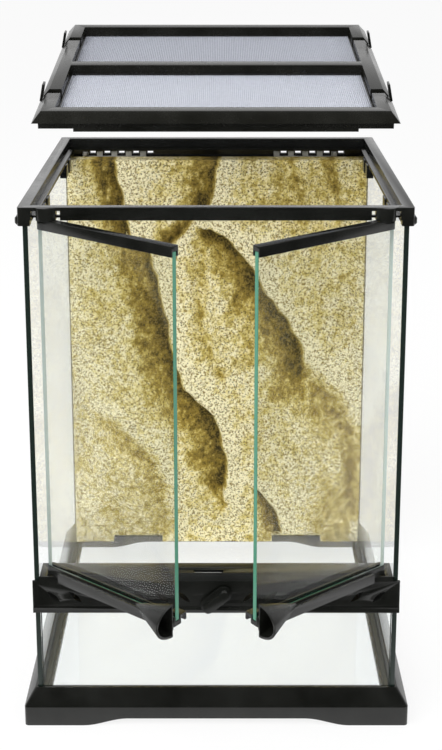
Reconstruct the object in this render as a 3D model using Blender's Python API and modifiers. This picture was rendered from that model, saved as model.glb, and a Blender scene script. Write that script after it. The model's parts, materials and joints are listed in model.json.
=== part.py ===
"""Front-opening glass terrarium with two doors and a screen lid.

Metres, +Z up. Everything is modelled about the middle of the tank's footprint, and the empty
tank_centre then moves the whole object back, so that the origin lies under the middle of the
object with its open doors. The front of the tank faces -Y.
"""

import math

import bmesh
import bpy
from mathutils import Matrix, Vector

# Driving dimensions of the tank
TANK_WIDTH = 0.304           # top frame, outer, left to right
TANK_DEPTH = 0.304           # top frame, outer, front to back
TANK_HEIGHT = 0.440          # floor to the top of the top frame
TANK_SETBACK = 0.0412        # from the origin back to the middle of the tank
GLASS = 0.004                # every pane and both doors
FIT = 0.0003                 # gap between two pieces that touch
SHAFT_GAP = 0.0003           # radial gap of a pin or shaft in its hole

# Top frame
FRAME_WIDTH = 0.009          # top face of each member
FRAME_DEPTH = 0.0145         # height of the side members
FRONT_MEMBER_DEPTH = 0.010   # the front member is lower, the doors hang under it
REAR_MEMBER_DEPTH = 0.023    # the rear member is taller, cables pass through it
FRAME_OUTER_WALL = 0.0032    # wall outside the glass
FRAME_ROOF = 0.003           # web above the glass
COLLAR_REACH = 0.0024        # the collar stands this far outside the side and rear members
COLLAR_HEIGHT = 0.007
COLLAR_CHAMFER = 0.0015
LID_SEAT_DEPTH = 0.008       # from the top of the frame down to the ledge under the lid
LID_SEAT_REACH = 0.004
LID_SEAT_THICKNESS = 0.003
BOSS_RADIUS = 0.009          # hinge boss in the front member
BOSS_WIDTH = 0.0152
BOSS_SLIT_OUTER = 0.0039     # slit between boss and corner
BOSS_SLIT_INNER = 0.0033     # slit between boss and front member
BOSS_BRIDGE = 0.0026         # web over the slits
CATCH_LENGTH = 0.040         # moulded block under the ledge at each lid clip
CATCH_REACH = 0.0052
CATCH_HEIGHT = 0.014

# Base frame
SKIRT_SPREAD = 0.007         # the skirt stands outside the top frame by this
SKIRT_HEIGHT = 0.017
BASE_HEIGHT = 0.030
BASE_WALL = 0.003
BASE_LIP = 0.0018            # lip outside the glass
LEDGE_TOP = 0.020            # the panes stand on this ledge
LEDGE_REACH = 0.010          # how far the ledge reaches in under the glass
FOOT_LENGTH = 0.049          # flat of each foot along the skirt
FOOT_CURVE = 0.036           # length of the curve from foot to arch
ARCH_HEIGHT = 0.0064
ARCH_STEPS = 8

# Vent bar under the doors
VENT_BOTTOM = 0.099
VENT_TOP = 0.131
VENT_REACH = 0.024           # front to back
VENT_WALL = 0.0025
VENT_PROUD = 0.0010          # the bar's face lies this far behind the top frame's face
VENT_OVERHANG = 0.0015       # the face plate covers the side panes' edges and this much more
VENT_CHAMFER = 0.004
VENT_SHELF = 0.005           # the lower edge of the face stands proud up to this height
VENT_SHELF_PROUD = 0.0008
SLOT_COUNT = 7               # vent slots on each side
SLOT_FIRST = 0.0267          # middle of the slot next to the lock
SLOT_FROM_END = 0.0170       # middle of the last slot to the end of the bar's face
SLOT_LENGTH = 0.0145
SLOT_WIDTH = 0.0042
SLOT_LEAN = 47.0             # degrees from upright
SLOT_HEIGHT = 0.0140         # middle of the slots above the bar's underside
SCREEN_THICKNESS = 0.0008

# Lock
LOCK_CLEARANCE = 0.0005      # between the cam and the floor of the bar's cavity
KNOB_LENGTH = 0.029
KNOB_WIDTH = 0.013
KNOB_DISC = 0.0025
KNOB_GRIP = 0.0055
KNOB_TILT = 40.0             # degrees above level, as it stands with the doors free
SPINDLE_RADIUS = 0.003
CAM_TIP_RISE = 0.0033        # locked, the cam's tip stands this far above the rails' underside
CAM_HALF_WIDTH = 0.005
CAM_THICKNESS = 0.003
CAM_CLEARANCE = 0.0008       # behind the closed doors' rails
LOCK_NUT_THICKNESS = 0.0025
LOCK_LOCKED_TURN = 85.0      # degrees from free to locked

# Doors
DOOR_OPEN = 38.0             # degrees, as photographed
HINGE_INSET = 0.022          # hinge axis to the outside of the top frame
HINGE_SETBACK = 0.0045       # hinge axis to the front of the top frame
HINGE_TAIL = 0.009           # the rails run on past the hinge axis
HINGE_PIN_RADIUS = 0.0015
DOOR_GAP = 0.0036            # between the two closed doors
RAIL_THICKNESS = 0.008
TOP_RAIL_HEIGHT = 0.0082
TOP_CHANNEL = 0.004
BOTTOM_RAIL_HEIGHT = 0.0074
BOTTOM_CHANNEL_FLOOR = 0.0037
RAIL_LIP_DROP = 0.0018       # the front lip hangs in front of the vent bar
RAIL_LIP_THICKNESS = 0.003
RAIL_LIP_GAP = 0.0005
RAIL_LIP_START = 0.0085      # from the hinge axis
RAIL_LIP_TOP = 0.0012        # below the rail's top
GLASS_SIDE_MARGIN = 0.0012   # glass inside the rails' ends
HANDLE_LENGTH = 0.037        # a flared cup on the rail, its mouth at the free edge
HANDLE_REACH = 0.021
HANDLE_HEIGHT = 0.028
HANDLE_BOTTOM = 0.0059       # the cup's underside hangs below the lip by this
HANDLE_TAPER = 0.12          # its narrow end, as a share of its mouth
HANDLE_WALL_SHIFT = 0.0045   # the hollow is the same shape, moved this far out of the mouth
HANDLE_BACK = 0.0016         # left behind the hollow
TONGUE_WIDTH = 0.010
TONGUE_REACH = 0.007
TONGUE_HOOK = 0.002
TONGUE_ARM = 0.0025
TONGUE_TOP = 0.0068          # above the rail's underside
TONGUE_HOOK_GAP = 0.0006

# Lid
LID_GAP = 0.0015             # round the lid in the top frame
LID_BEVEL = 0.0068           # the lid's sides slope out by this much
LID_SKIRT_SETBACK = 0.0045   # tier under the lid's edge
LID_SKIRT_HEIGHT = 0.0055
LID_APRON_HEIGHT = 0.0025    # third tier, front and back
LID_APRON_INSET = 0.027      # its ends, inside the tier above
LID_APRON_DEPTH = 0.004
LID_RAIL = 0.010
LID_CROSSBAR = 0.012
LID_LIFT_ANGLE = 8.6         # degrees, the pose in the photograph
LID_SWING_FRONT = 0.600      # the stand-in axis lies this far in front of the tank's middle
LID_SWING_RISE = 0.085       # and this far above the top frame
MESH_DEPTH = 0.0093          # below the lid's top face
MESH_WIRE = 0.0008
MESH_GAPS_ACROSS = 15
MESH_GAPS_DEEP = 7
MESH_SEAT = 0.003
MESH_SEAT_THICKNESS = 0.002
RETAINER_WIDTH = 0.0010
RETAINER_HEIGHT = 0.0016

# Lid clips
CLIP_WIDTH = 0.010
CLIP_FROM_CORNER = 0.0527    # clip to the front or rear edge of the lid's top face
CLIP_AXIS_INSET = 0.0035     # pivot inside the edge of the lid's top face
CLIP_AXIS_DEPTH = 0.0085     # pivot under the lid's top face
CLIP_PLATE = 0.0018
CLIP_LEVER = 0.0135
CLIP_TOE = 0.011
CLIP_TOE_ANGLE = -28.0       # degrees, locked
CLIP_TURN = 79.0             # degrees from locked to open
CLIP_JOURNAL_RADIUS = 0.0014
CLIP_JOURNAL = 0.0016
CLIP_SIDE_GAP = 0.0005

# Rock background
ROCK_THICKNESS = 0.018       # to the middle of its face
ROCK_RELIEF = 0.007          # the face swells and sinks by this much
ROCK_SLAB_STEP = 0.011       # depth of the deepest cleft between two slabs
ROCK_SLAB_SLOPE = 0.115      # width of the slope down into a cleft, as a share of the panel's
ROCK_SLAB_EDGE = 0.035       # width of the steep side of a cleft
ROCK_BACK_GAP = 0.0056       # between its back and the rear pane
ROCK_SIDE_GAP = 0.0004
ROCK_COLUMNS = 30
ROCK_ROWS = 40
ROCK_TOP_DROP = 0.0168       # its top edge below the top of the top frame
ROCK_NOTCH_HALF = 0.027      # two notches in its bottom edge
ROCK_NOTCH_FROM_SIDE = 0.0631
ROCK_NOTCH_HEIGHT = 0.009

# Cable shutters in the rear member
WINDOW_FROM_CORNER = 0.031   # middle of the last window to the outside of the top frame
WINDOW_COUNT = 5
WINDOW_PITCH = 0.014
WINDOW_WIDTH = 0.0056
WINDOW_HEIGHT = 0.0036
SHUTTER_THICKNESS = 0.0017
SHUTTER_STRIP = 0.006
SHUTTER_NIB = 0.003
TRACK_WALL = 0.0012
TRACK_LIP = 0.0025

SEAL = 0.0033                # leg of each silicone bead

# Values that follow from the driving dimensions
HALF_W = TANK_WIDTH / 2
HALF_D = TANK_DEPTH / 2
GLASS_X = HALF_W - FRAME_OUTER_WALL - FIT
GLASS_Y = HALF_D - FRAME_OUTER_WALL - FIT
INSIDE_X = GLASS_X - GLASS
INSIDE_Y = GLASS_Y - GLASS
FRAME_BOTTOM = TANK_HEIGHT - FRAME_DEPTH
REAR_BOTTOM = TANK_HEIGHT - REAR_MEMBER_DEPTH
OPENING_X = HALF_W - FRAME_WIDTH
OPENING_Y = HALF_D - FRAME_WIDTH
LID_SEAT_Z = TANK_HEIGHT - LID_SEAT_DEPTH - FIT
PANE_BOTTOM = LEDGE_TOP + FIT
PANE_TOP = TANK_HEIGHT - FRAME_ROOF - FIT
FLOOR_TOP = PANE_BOTTOM + GLASS
WINDOW_TOP = LID_SEAT_Z - LID_SEAT_THICKNESS - FIT
WINDOW_BOTTOM = WINDOW_TOP - WINDOW_HEIGHT
REAR_PANE_TOP = WINDOW_BOTTOM - FIT
BASE_X = HALF_W + SKIRT_SPREAD
BASE_Y = HALF_D + SKIRT_SPREAD
HINGE_X = HALF_W - HINGE_INSET
HINGE_Y = -HALF_D + HINGE_SETBACK
FRONT_UNDERSIDE = TANK_HEIGHT - FRONT_MEMBER_DEPTH
TOP_RAIL_TOP = FRONT_UNDERSIDE - FIT
TOP_RAIL_BOTTOM = TOP_RAIL_TOP - TOP_RAIL_HEIGHT
BOTTOM_RAIL_BOTTOM = VENT_TOP + FIT
BOTTOM_RAIL_TOP = BOTTOM_RAIL_BOTTOM + BOTTOM_RAIL_HEIGHT
RAIL_FRONT = HINGE_Y - RAIL_THICKNESS / 2
RAIL_BACK = HINGE_Y + RAIL_THICKNESS / 2
VENT_FRONT = -HALF_D + VENT_PROUD
VENT_BACK = VENT_FRONT + VENT_REACH
VENT_X = INSIDE_X - FIT
LID_FLANGE_X = OPENING_X - LID_GAP
LID_FLANGE_Y = OPENING_Y - LID_GAP
LID_TOP_X = LID_FLANGE_X - LID_BEVEL
LID_TOP_Y = LID_FLANGE_Y - LID_BEVEL
LID_SKIRT_X = LID_FLANGE_X - LID_SKIRT_SETBACK
LID_SKIRT_Y = LID_FLANGE_Y - LID_SKIRT_SETBACK
LID_FLANGE_Z = TANK_HEIGHT - LID_SEAT_DEPTH
LID_SKIRT_Z = LID_FLANGE_Z - LID_SKIRT_HEIGHT
LID_APRON_Z = LID_SKIRT_Z - LID_APRON_HEIGHT
LID_INNER_X = LID_TOP_X - LID_RAIL
LID_INNER_Y = LID_TOP_Y - LID_RAIL
MESH_Z = TANK_HEIGHT - MESH_DEPTH
LID_APRON_HALF = LID_SKIRT_X - LID_APRON_INSET
CLIP_X = LID_TOP_X - CLIP_AXIS_INSET
CLIP_Y = LID_TOP_Y - CLIP_FROM_CORNER
CLIP_Z = TANK_HEIGHT - CLIP_AXIS_DEPTH
CLIP_RISE = CLIP_AXIS_DEPTH + FIT
ROCK_BACK = INSIDE_Y - ROCK_BACK_GAP
ROCK_FRONT = ROCK_BACK - ROCK_THICKNESS
ROCK_X = INSIDE_X - ROCK_SIDE_GAP
ROCK_BOTTOM = FLOOR_TOP + FIT
ROCK_TOP = TANK_HEIGHT - ROCK_TOP_DROP
DOOR_REACH = HINGE_X - DOOR_GAP / 2
LIP_BACK = VENT_FRONT - VENT_SHELF_PROUD - RAIL_LIP_GAP
LIP_FRONT = LIP_BACK - RAIL_LIP_THICKNESS
CAM_FRONT = RAIL_BACK + CAM_CLEARANCE
CAM_BACK = CAM_FRONT + CAM_THICKNESS
NOSE_RADIUS = SPINDLE_RADIUS * 0.7
CAVITY_BOTTOM = VENT_BOTTOM + VENT_SHELF + VENT_WALL
LOCK_HEIGHT = CAVITY_BOTTOM + LOCK_CLEARANCE + CAM_HALF_WIDTH
CAM_REACH = BOTTOM_RAIL_BOTTOM + CAM_TIP_RISE - LOCK_HEIGHT
LOCK_NUT_RADIUS = CAM_HALF_WIDTH - FIT
WINDOW_LAST = HALF_W - WINDOW_FROM_CORNER
WINDOW_FIRST = WINDOW_LAST - WINDOW_PITCH * (WINDOW_COUNT - 1)
SHUTTER_TRAVEL = WINDOW_PITCH / 2
LOCK_AXIS = Vector((0.0, VENT_FRONT, LOCK_HEIGHT))


# Helpers

for old in list(bpy.data.objects):
    bpy.data.objects.remove(old, do_unlink=True)


def make_collection(name):
    collection = bpy.data.collections.new(name)
    bpy.context.scene.collection.children.link(collection)
    return collection


PARTS = make_collection("glass_terrarium")
CUTTERS = make_collection("cutters")


def make_material(name, colour, roughness, metallic=0.0, alpha=1.0):
    material = bpy.data.materials.new(name)
    material.use_nodes = True
    shader = material.node_tree.nodes["Principled BSDF"]
    shader.inputs["Base Color"].default_value = (*colour, 1.0)
    shader.inputs["Roughness"].default_value = roughness
    shader.inputs["Metallic"].default_value = metallic
    shader.inputs["Alpha"].default_value = alpha
    return material


def add_object(name, mesh, material=None):
    obj = bpy.data.objects.new(name, mesh)
    PARTS.objects.link(obj)
    if material is not None:
        mesh.materials.clear()
        mesh.materials.append(material)
    return obj


def mesh_from(name, bm):
    mesh = bpy.data.meshes.new(name)
    bm.to_mesh(mesh)
    bm.free()
    return mesh


def box_into(bm, low, high):
    """Adds a box between two corners to a bmesh."""
    size = [b - a for a, b in zip(low, high)]
    middle = [(a + b) / 2 for a, b in zip(low, high)]
    matrix = Matrix.Translation(middle) @ Matrix.Diagonal((*size, 1.0))
    return bmesh.ops.create_cube(bm, size=1.0, matrix=matrix)["verts"]


def boxes(name, corners, material=None):
    bm = bmesh.new()
    for low, high in corners:
        box_into(bm, low, high)
    return add_object(name, mesh_from(name, bm), material)


def box(name, low, high, material=None, upright_radius=0.0, radius_steps=3):
    """A box, with its four upright edges rounded when a radius is given."""
    bm = bmesh.new()
    box_into(bm, low, high)
    if upright_radius:
        upright = [e for e in bm.edges if abs(e.verts[0].co.z - e.verts[1].co.z) > 1e-6]
        bmesh.ops.bevel(bm, geom=upright, offset=upright_radius, offset_type="OFFSET",
                        segments=radius_steps, profile=0.5, affect="EDGES")
    return add_object(name, mesh_from(name, bm), material)


def frustum(name, bottom_half, top_half, z_bottom, z_top, material=None):
    """A block whose top has another width and depth than its bottom."""
    bm = bmesh.new()
    low = (-bottom_half[0], -bottom_half[1], z_bottom)
    box_into(bm, low, (bottom_half[0], bottom_half[1], z_top))
    for vert in bm.verts:
        if vert.co.z > (z_bottom + z_top) / 2:
            vert.co.x = math.copysign(top_half[0], vert.co.x)
            vert.co.y = math.copysign(top_half[1], vert.co.y)
    return add_object(name, mesh_from(name, bm), material)


def cylinder(name, radius, start, end, material=None, sides=20):
    """A round bar between two points."""
    start, end = Vector(start), Vector(end)
    run = end - start
    turn = run.to_track_quat("Z", "Y").to_matrix().to_4x4()
    matrix = Matrix.Translation((start + end) / 2) @ turn
    bm = bmesh.new()
    bmesh.ops.create_cone(bm, cap_ends=True, segments=sides, radius1=radius, radius2=radius,
                          depth=run.length, matrix=matrix)
    return add_object(name, mesh_from(name, bm), material)


def plate(name, outline, thickness, matrix, material=None):
    """A flat outline given thickness both ways from its plane, then made a mesh and placed."""
    curve = bpy.data.curves.new(name, "CURVE")
    curve.dimensions = "2D"
    curve.fill_mode = "BOTH"
    curve.extrude = thickness / 2
    spline = curve.splines.new("POLY")
    spline.points.add(len(outline) - 1)
    for point, (u, v) in zip(spline.points, outline):
        point.co = (u, v, 0.0, 1.0)
    spline.use_cyclic_u = True
    drawn = bpy.data.objects.new(name + "_outline", curve)
    PARTS.objects.link(drawn)
    bpy.context.view_layer.update()
    depsgraph = bpy.context.evaluated_depsgraph_get()
    mesh = bpy.data.meshes.new_from_object(drawn.evaluated_get(depsgraph))
    bpy.data.objects.remove(drawn, do_unlink=True)
    bm = bmesh.new()
    bm.from_mesh(mesh)
    bmesh.ops.remove_doubles(bm, verts=bm.verts, dist=1e-6)
    bmesh.ops.transform(bm, matrix=matrix, verts=bm.verts)
    bmesh.ops.recalc_face_normals(bm, faces=bm.faces)
    bm.to_mesh(mesh)
    bm.free()
    mesh.name = name
    return add_object(name, mesh, material)


def profile(name, outline, x_low, x_high, material=None):
    """An outline of Y and Z values, run along X."""
    turn = Matrix.Rotation(math.radians(90), 4, "Z") @ Matrix.Rotation(math.radians(90), 4, "X")
    middle = Matrix.Translation(((x_low + x_high) / 2, 0, 0))
    return plate(name, outline, x_high - x_low, middle @ turn, material)


def combine(target, tool, operation):
    """Adds, cuts or keeps the overlap of a tool, which then follows its target as a guide."""
    modifier = target.modifiers.new(tool.name, "BOOLEAN")
    modifier.operation = operation
    modifier.solver = "EXACT"
    modifier.object = tool
    tool.parent = target
    tool.hide_render = True
    tool.display_type = "WIRE"
    PARTS.objects.unlink(tool)
    CUTTERS.objects.link(tool)


def join(target, *tools):
    for tool in tools:
        combine(target, tool, "UNION")


def cut(target, *tools):
    for tool in tools:
        combine(target, tool, "DIFFERENCE")


def pivot(name, point, turn=(0.0, 0.0, 0.0)):
    """An empty on a joint's axis. Pieces hung on it turn with it."""
    empty = bpy.data.objects.new(name, None)
    empty.empty_display_size = 0.02
    empty.location = point
    empty.rotation_euler = [math.radians(a) for a in turn]
    PARTS.objects.link(empty)
    return empty


def hang(empty, *pieces):
    """Parents pieces, modelled in place, to an empty that may turn them."""
    back = Matrix.Translation(-Vector(empty.location))
    for piece in pieces:
        piece.parent = empty
        piece.matrix_parent_inverse = back


def smooth_step(t):
    return t * t * (3.0 - 2.0 * t)


# Materials

BLACK = make_material("black_moulding", (0.012, 0.013, 0.011), 0.35)
LID_GREY = make_material("lid_moulding", (0.045, 0.043, 0.036), 0.45)
CLEAR = make_material("clear_glass", (0.80, 0.93, 0.88), 0.03, 0.0, 0.35)
STEEL = make_material("pin_steel", (0.60, 0.60, 0.60), 0.30, 1.0)
MESH = make_material("steel_mesh", (0.55, 0.56, 0.60), 0.40, 1.0)
ROCK = make_material("rock_foam", (0.62, 0.50, 0.22), 0.90)
SEALANT = make_material("silicone_bead", (0.02, 0.03, 0.025), 0.50)
SHUTTER = make_material("shutter_moulding", (0.20, 0.20, 0.19), 0.45)


# Base frame

def arch_outline(half_length, underside):
    """The cut between two feet: flat feet, a soft curve at each end and a flat arch."""
    foot_end = half_length - FOOT_LENGTH
    rise = [(foot_end - FOOT_CURVE * i / ARCH_STEPS, ARCH_HEIGHT * smooth_step(i / ARCH_STEPS))
            for i in range(ARCH_STEPS + 1)]
    left = [(-x, z) for x, z in reversed(rise)]
    return [(foot_end, underside)] + rise + left + [(-foot_end, underside)]


def build_base():
    bm = bmesh.new()
    box_into(bm, (-BASE_X, -BASE_Y, 0.0), (BASE_X, BASE_Y, SKIRT_HEIGHT))
    top = [f for f in bm.faces if f.normal.z > 0.5]
    raised = bmesh.ops.extrude_face_region(bm, geom=top)
    bmesh.ops.delete(bm, geom=top, context="FACES_ONLY")
    lip_x = GLASS_X + FIT + BASE_LIP
    lip_y = GLASS_Y + FIT + BASE_LIP
    for vert in [v for v in raised["geom"] if isinstance(v, bmesh.types.BMVert)]:
        vert.co = (math.copysign(lip_x, vert.co.x), math.copysign(lip_y, vert.co.y), BASE_HEIGHT)
    bm.normal_update()
    corners = [e for e in bm.edges if abs(e.verts[0].co.z - e.verts[1].co.z) > 1e-6]
    bmesh.ops.bevel(bm, geom=corners, offset=0.003, offset_type="OFFSET", segments=3,
                    profile=0.5, affect="EDGES")
    base = add_object("base_frame", mesh_from("base_frame", bm), BLACK)
    hollow_x = BASE_X - BASE_WALL
    hollow_y = BASE_Y - BASE_WALL
    below = -0.002
    above = BASE_HEIGHT + 0.002
    window_x = GLASS_X - LEDGE_REACH
    window_y = GLASS_Y - LEDGE_REACH
    cut(base,
        box("base_hollow", (-hollow_x, -hollow_y, below),
            (hollow_x, hollow_y, LEDGE_TOP - BASE_WALL)),
        box("base_well", (-GLASS_X - FIT, -GLASS_Y - FIT, LEDGE_TOP),
            (GLASS_X + FIT, GLASS_Y + FIT, above)),
        box("base_window", (-window_x, -window_y, below), (window_x, window_y, above)),
        plate("base_arch_front", arch_outline(BASE_X, below), 2 * BASE_Y + 0.02,
              Matrix.Rotation(math.radians(90), 4, "X")),
        plate("base_arch_side", arch_outline(BASE_Y, below), 2 * BASE_X + 0.02,
              Matrix.Rotation(math.radians(90), 4, "Z")
              @ Matrix.Rotation(math.radians(90), 4, "X")))
    return base


# Top frame with hinge bosses, lid ledge, clip catches and cable windows

def window_centres(side):
    return [side * (WINDOW_FIRST + WINDOW_PITCH * i) for i in range(WINDOW_COUNT)]


def build_top_frame():
    frame = box("top_frame", (-HALF_W, -HALF_D, FRAME_BOTTOM), (HALF_W, HALF_D, TANK_HEIGHT),
                BLACK, upright_radius=0.002, radius_steps=2)
    collar_x = HALF_W + COLLAR_REACH
    collar_back = HALF_D + COLLAR_REACH
    collar_front = -HALF_D + FRAME_OUTER_WALL
    collar = box("frame_collar", (-collar_x, collar_front, FRAME_BOTTOM),
                 (collar_x, collar_back, FRAME_BOTTOM + COLLAR_HEIGHT))
    chamfer = collar.modifiers.new("chamfer", "BEVEL")
    chamfer.width = COLLAR_CHAMFER
    chamfer.segments = 1
    chamfer.limit_method = "ANGLE"
    rear = box("frame_rear_drop", (-HALF_W, OPENING_Y, REAR_BOTTOM), (HALF_W, HALF_D, PANE_TOP))
    join(frame, collar, rear)

    cut(frame, box("frame_opening", (-OPENING_X, -OPENING_Y, REAR_BOTTOM - 0.01),
                   (OPENING_X, OPENING_Y, TANK_HEIGHT + 0.01)))
    seat_x = OPENING_X - LID_SEAT_REACH
    seat_y = OPENING_Y - LID_SEAT_REACH
    seat_bottom = LID_SEAT_Z - LID_SEAT_THICKNESS
    seat = box("frame_seat", (-OPENING_X - 0.001, -OPENING_Y - 0.001, seat_bottom),
               (OPENING_X + 0.001, OPENING_Y + 0.001, LID_SEAT_Z))
    cut(seat, box("frame_seat_opening", (-seat_x, -seat_y, seat_bottom - 0.01),
                  (seat_x, seat_y, LID_SEAT_Z + 0.01)))
    join(frame, seat)

    catches = []
    slot_half = CLIP_WIDTH / 2 + CLIP_SIDE_GAP
    catch_bottom = LID_SEAT_Z - CATCH_HEIGHT
    for side in (-1, 1):
        for y in (-CLIP_Y, CLIP_Y):
            for start, end in ((-CATCH_LENGTH / 2, -slot_half), (slot_half, CATCH_LENGTH / 2)):
                x_inner = side * (OPENING_X - CATCH_REACH)
                x_outer = side * (OPENING_X + 0.0008)
                catches.append(((min(x_inner, x_outer), y + start, catch_bottom),
                                (max(x_inner, x_outer), y + end, seat_bottom + 0.001)))
    join(frame, boxes("frame_catches", catches))

    side_groove = GLASS_X + FIT
    groove_roof = PANE_TOP + FIT
    deep = REAR_BOTTOM - 0.01
    grooves = [((-side_groove, -GLASS_Y - FIT, deep), (-INSIDE_X + FIT, GLASS_Y + FIT, groove_roof)),
               ((INSIDE_X - FIT, -GLASS_Y - FIT, deep), (side_groove, GLASS_Y + FIT, groove_roof))]
    cut(frame, boxes("frame_side_grooves", grooves),
        box("frame_rear_groove", (-INSIDE_X + FIT / 2, INSIDE_Y - FIT, deep),
            (INSIDE_X - FIT / 2, GLASS_Y + FIT, REAR_PANE_TOP + FIT)))

    corner_x = OPENING_X - 0.0006
    cut(frame, box("frame_front_lift", (-corner_x, -HALF_D - 0.01, FRAME_BOTTOM - 0.01),
                   (corner_x, -OPENING_Y + LID_SEAT_REACH + 0.01, FRONT_UNDERSIDE)))
    for side, name in ((-1, "left"), (1, "right")):
        centre = side * HINGE_X
        knuckle = cylinder(f"frame_boss_{name}", BOSS_RADIUS, (centre, HINGE_Y, FRONT_UNDERSIDE),
                           (centre, HINGE_Y, TANK_HEIGHT), sides=28)
        combine(knuckle, box(f"frame_boss_trim_{name}",
                             (centre - BOSS_WIDTH / 2, -HALF_D - 0.02, FRONT_UNDERSIDE - 0.01),
                             (centre + BOSS_WIDTH / 2, -OPENING_Y - 0.0005, TANK_HEIGHT + 0.01)),
                "INTERSECT")
        join(frame, knuckle)
        outer = side * (HINGE_X + BOSS_WIDTH / 2)
        inner = side * (HINGE_X - BOSS_WIDTH / 2)
        slits = []
        for start, width in ((outer, side * BOSS_SLIT_OUTER), (inner, -side * BOSS_SLIT_INNER)):
            slits.append(((min(start, start + width), -HALF_D - 0.02, FRONT_UNDERSIDE - 0.01),
                          (max(start, start + width), -OPENING_Y + 0.0005,
                           TANK_HEIGHT - BOSS_BRIDGE)))
        cut(frame, boxes(f"frame_slits_{name}", slits),
            cylinder(f"frame_pin_hole_{name}", HINGE_PIN_RADIUS + SHAFT_GAP,
                     (centre, HINGE_Y, FRONT_UNDERSIDE - 0.01),
                     (centre, HINGE_Y, PANE_TOP), sides=16))

    windows = []
    for x in window_centres(-1) + window_centres(1):
        windows.append(((x - WINDOW_WIDTH / 2, OPENING_Y - 0.01, WINDOW_BOTTOM),
                        (x + WINDOW_WIDTH / 2, collar_back + 0.01, WINDOW_TOP - FIT)))
    cut(frame, boxes("frame_cable_windows", windows))

    track_front = OPENING_Y - SHUTTER_THICKNESS - 2 * FIT - TRACK_WALL
    into_wall = OPENING_Y + 0.0008
    track = [(track_front, REAR_BOTTOM - TRACK_WALL), (into_wall, REAR_BOTTOM - TRACK_WALL),
             (into_wall, REAR_BOTTOM + 0.001), (OPENING_Y + 0.0002, REAR_BOTTOM + 0.001),
             (OPENING_Y + 0.0002, REAR_BOTTOM), (track_front + TRACK_WALL, REAR_BOTTOM),
             (track_front + TRACK_WALL, REAR_BOTTOM + TRACK_LIP),
             (track_front, REAR_BOTTOM + TRACK_LIP)]
    near = WINDOW_FIRST - WINDOW_PITCH - SHUTTER_TRAVEL
    far = WINDOW_LAST + WINDOW_PITCH
    join(frame, profile("frame_track_left", track, -far, -near),
         profile("frame_track_right", track, near, far))
    return frame


def build_shutter(side, name):
    """A comb that slides along the rear member and covers its windows."""
    centres = window_centres(side)
    back = OPENING_Y - FIT
    front = back - SHUTTER_THICKNESS
    strip_top = REAR_BOTTOM + FIT + SHUTTER_STRIP
    first = min(centres) - WINDOW_PITCH / 2 - WINDOW_WIDTH / 2
    last = max(centres) - WINDOW_PITCH / 2 + WINDOW_WIDTH / 2
    strip = box(f"{name}_cable_shutter", (first, front, REAR_BOTTOM + FIT), (last, back, strip_top),
                SHUTTER)
    overlap = 0.0005
    teeth = [((x - WINDOW_PITCH / 2 - WINDOW_WIDTH / 2, front, strip_top - overlap),
              (x - WINDOW_PITCH / 2 + WINDOW_WIDTH / 2, back, WINDOW_TOP - FIT))
             for x in centres]
    end = min(centres) if side < 0 else max(centres)
    nib_x = end - WINDOW_PITCH / 2
    nib = box(f"{name}_shutter_nib",
              (nib_x - WINDOW_WIDTH / 4, front - SHUTTER_NIB, ROCK_TOP + FIT + 0.0005),
              (nib_x + WINDOW_WIDTH / 4, front + overlap, WINDOW_TOP - 2 * FIT))
    join(strip, boxes(f"{name}_shutter_teeth", teeth), nib)
    return strip


# Glass panes and the silicone beads that bond them

def build_panes():
    rear_x = INSIDE_X - FIT
    return [
        box("left_pane", (-GLASS_X, -GLASS_Y, PANE_BOTTOM), (-INSIDE_X, GLASS_Y, PANE_TOP), CLEAR),
        box("right_pane", (INSIDE_X, -GLASS_Y, PANE_BOTTOM), (GLASS_X, GLASS_Y, PANE_TOP), CLEAR),
        box("rear_pane", (-rear_x, INSIDE_Y, PANE_BOTTOM), (rear_x, GLASS_Y, REAR_PANE_TOP), CLEAR),
        box("front_lower_pane", (-rear_x, -GLASS_Y, PANE_BOTTOM),
            (rear_x, -INSIDE_Y, VENT_BOTTOM + VENT_SHELF - FIT), CLEAR),
        box("floor_pane", (-rear_x, -INSIDE_Y + FIT, PANE_BOTTOM),
            (rear_x, INSIDE_Y - FIT, FLOOR_TOP), CLEAR),
    ]


def build_seals():
    beads = []
    for side, name in ((-1, "left"), (1, "right")):
        corner_x = side * (INSIDE_X - FIT)
        corner_y = INSIDE_Y - FIT
        outline = [(corner_x, corner_y), (corner_x - side * SEAL, corner_y),
                   (corner_x, corner_y - SEAL)]
        low = FLOOR_TOP + FIT
        high = REAR_BOTTOM - TRACK_WALL - FIT
        bead = plate(f"{name}_corner_seal", outline, high - low,
                     Matrix.Translation((0, 0, (low + high) / 2)), SEALANT)
        beads.append(bead)
    edge_x = INSIDE_X - FIT
    edge_y = INSIDE_Y - FIT
    rear_end = ROCK_FRONT - ROCK_RELIEF - 2 * FIT
    bead_bottom = FLOOR_TOP + FIT
    floor_bead = box("floor_seal", (-edge_x, -edge_y, bead_bottom),
                     (edge_x, rear_end, bead_bottom + SEAL), SEALANT)
    flare = 0.0004
    inner = frustum("floor_seal_inside",
                    (edge_x - SEAL - flare, edge_y - SEAL - flare), (edge_x, edge_y),
                    bead_bottom - flare, bead_bottom + SEAL + flare)
    reach = box("floor_seal_rear_end", (-edge_x + SEAL, -edge_y + 2 * SEAL, bead_bottom - 0.001),
                (edge_x - SEAL, rear_end + 0.01, bead_bottom + SEAL + 0.001))
    cut(floor_bead, inner, reach)
    beads.append(floor_bead)
    return beads


# Vent bar with its slots, ledge and lock slot

def slot_centres():
    last = GLASS_X + VENT_OVERHANG - SLOT_FROM_END
    step = (last - SLOT_FIRST) / (SLOT_COUNT - 1)
    return [SLOT_FIRST + step * i for i in range(SLOT_COUNT)]


def leaf_outline(length, width, points=5):
    """A slot drawn to a point at both ends, as two shallow arcs."""
    arc = [(width / 2 * math.sin(math.pi * i / points), length * (i / points - 0.5))
           for i in range(points + 1)]
    return arc + [(-u, v) for u, v in reversed(arc[1:-1])]


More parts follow.
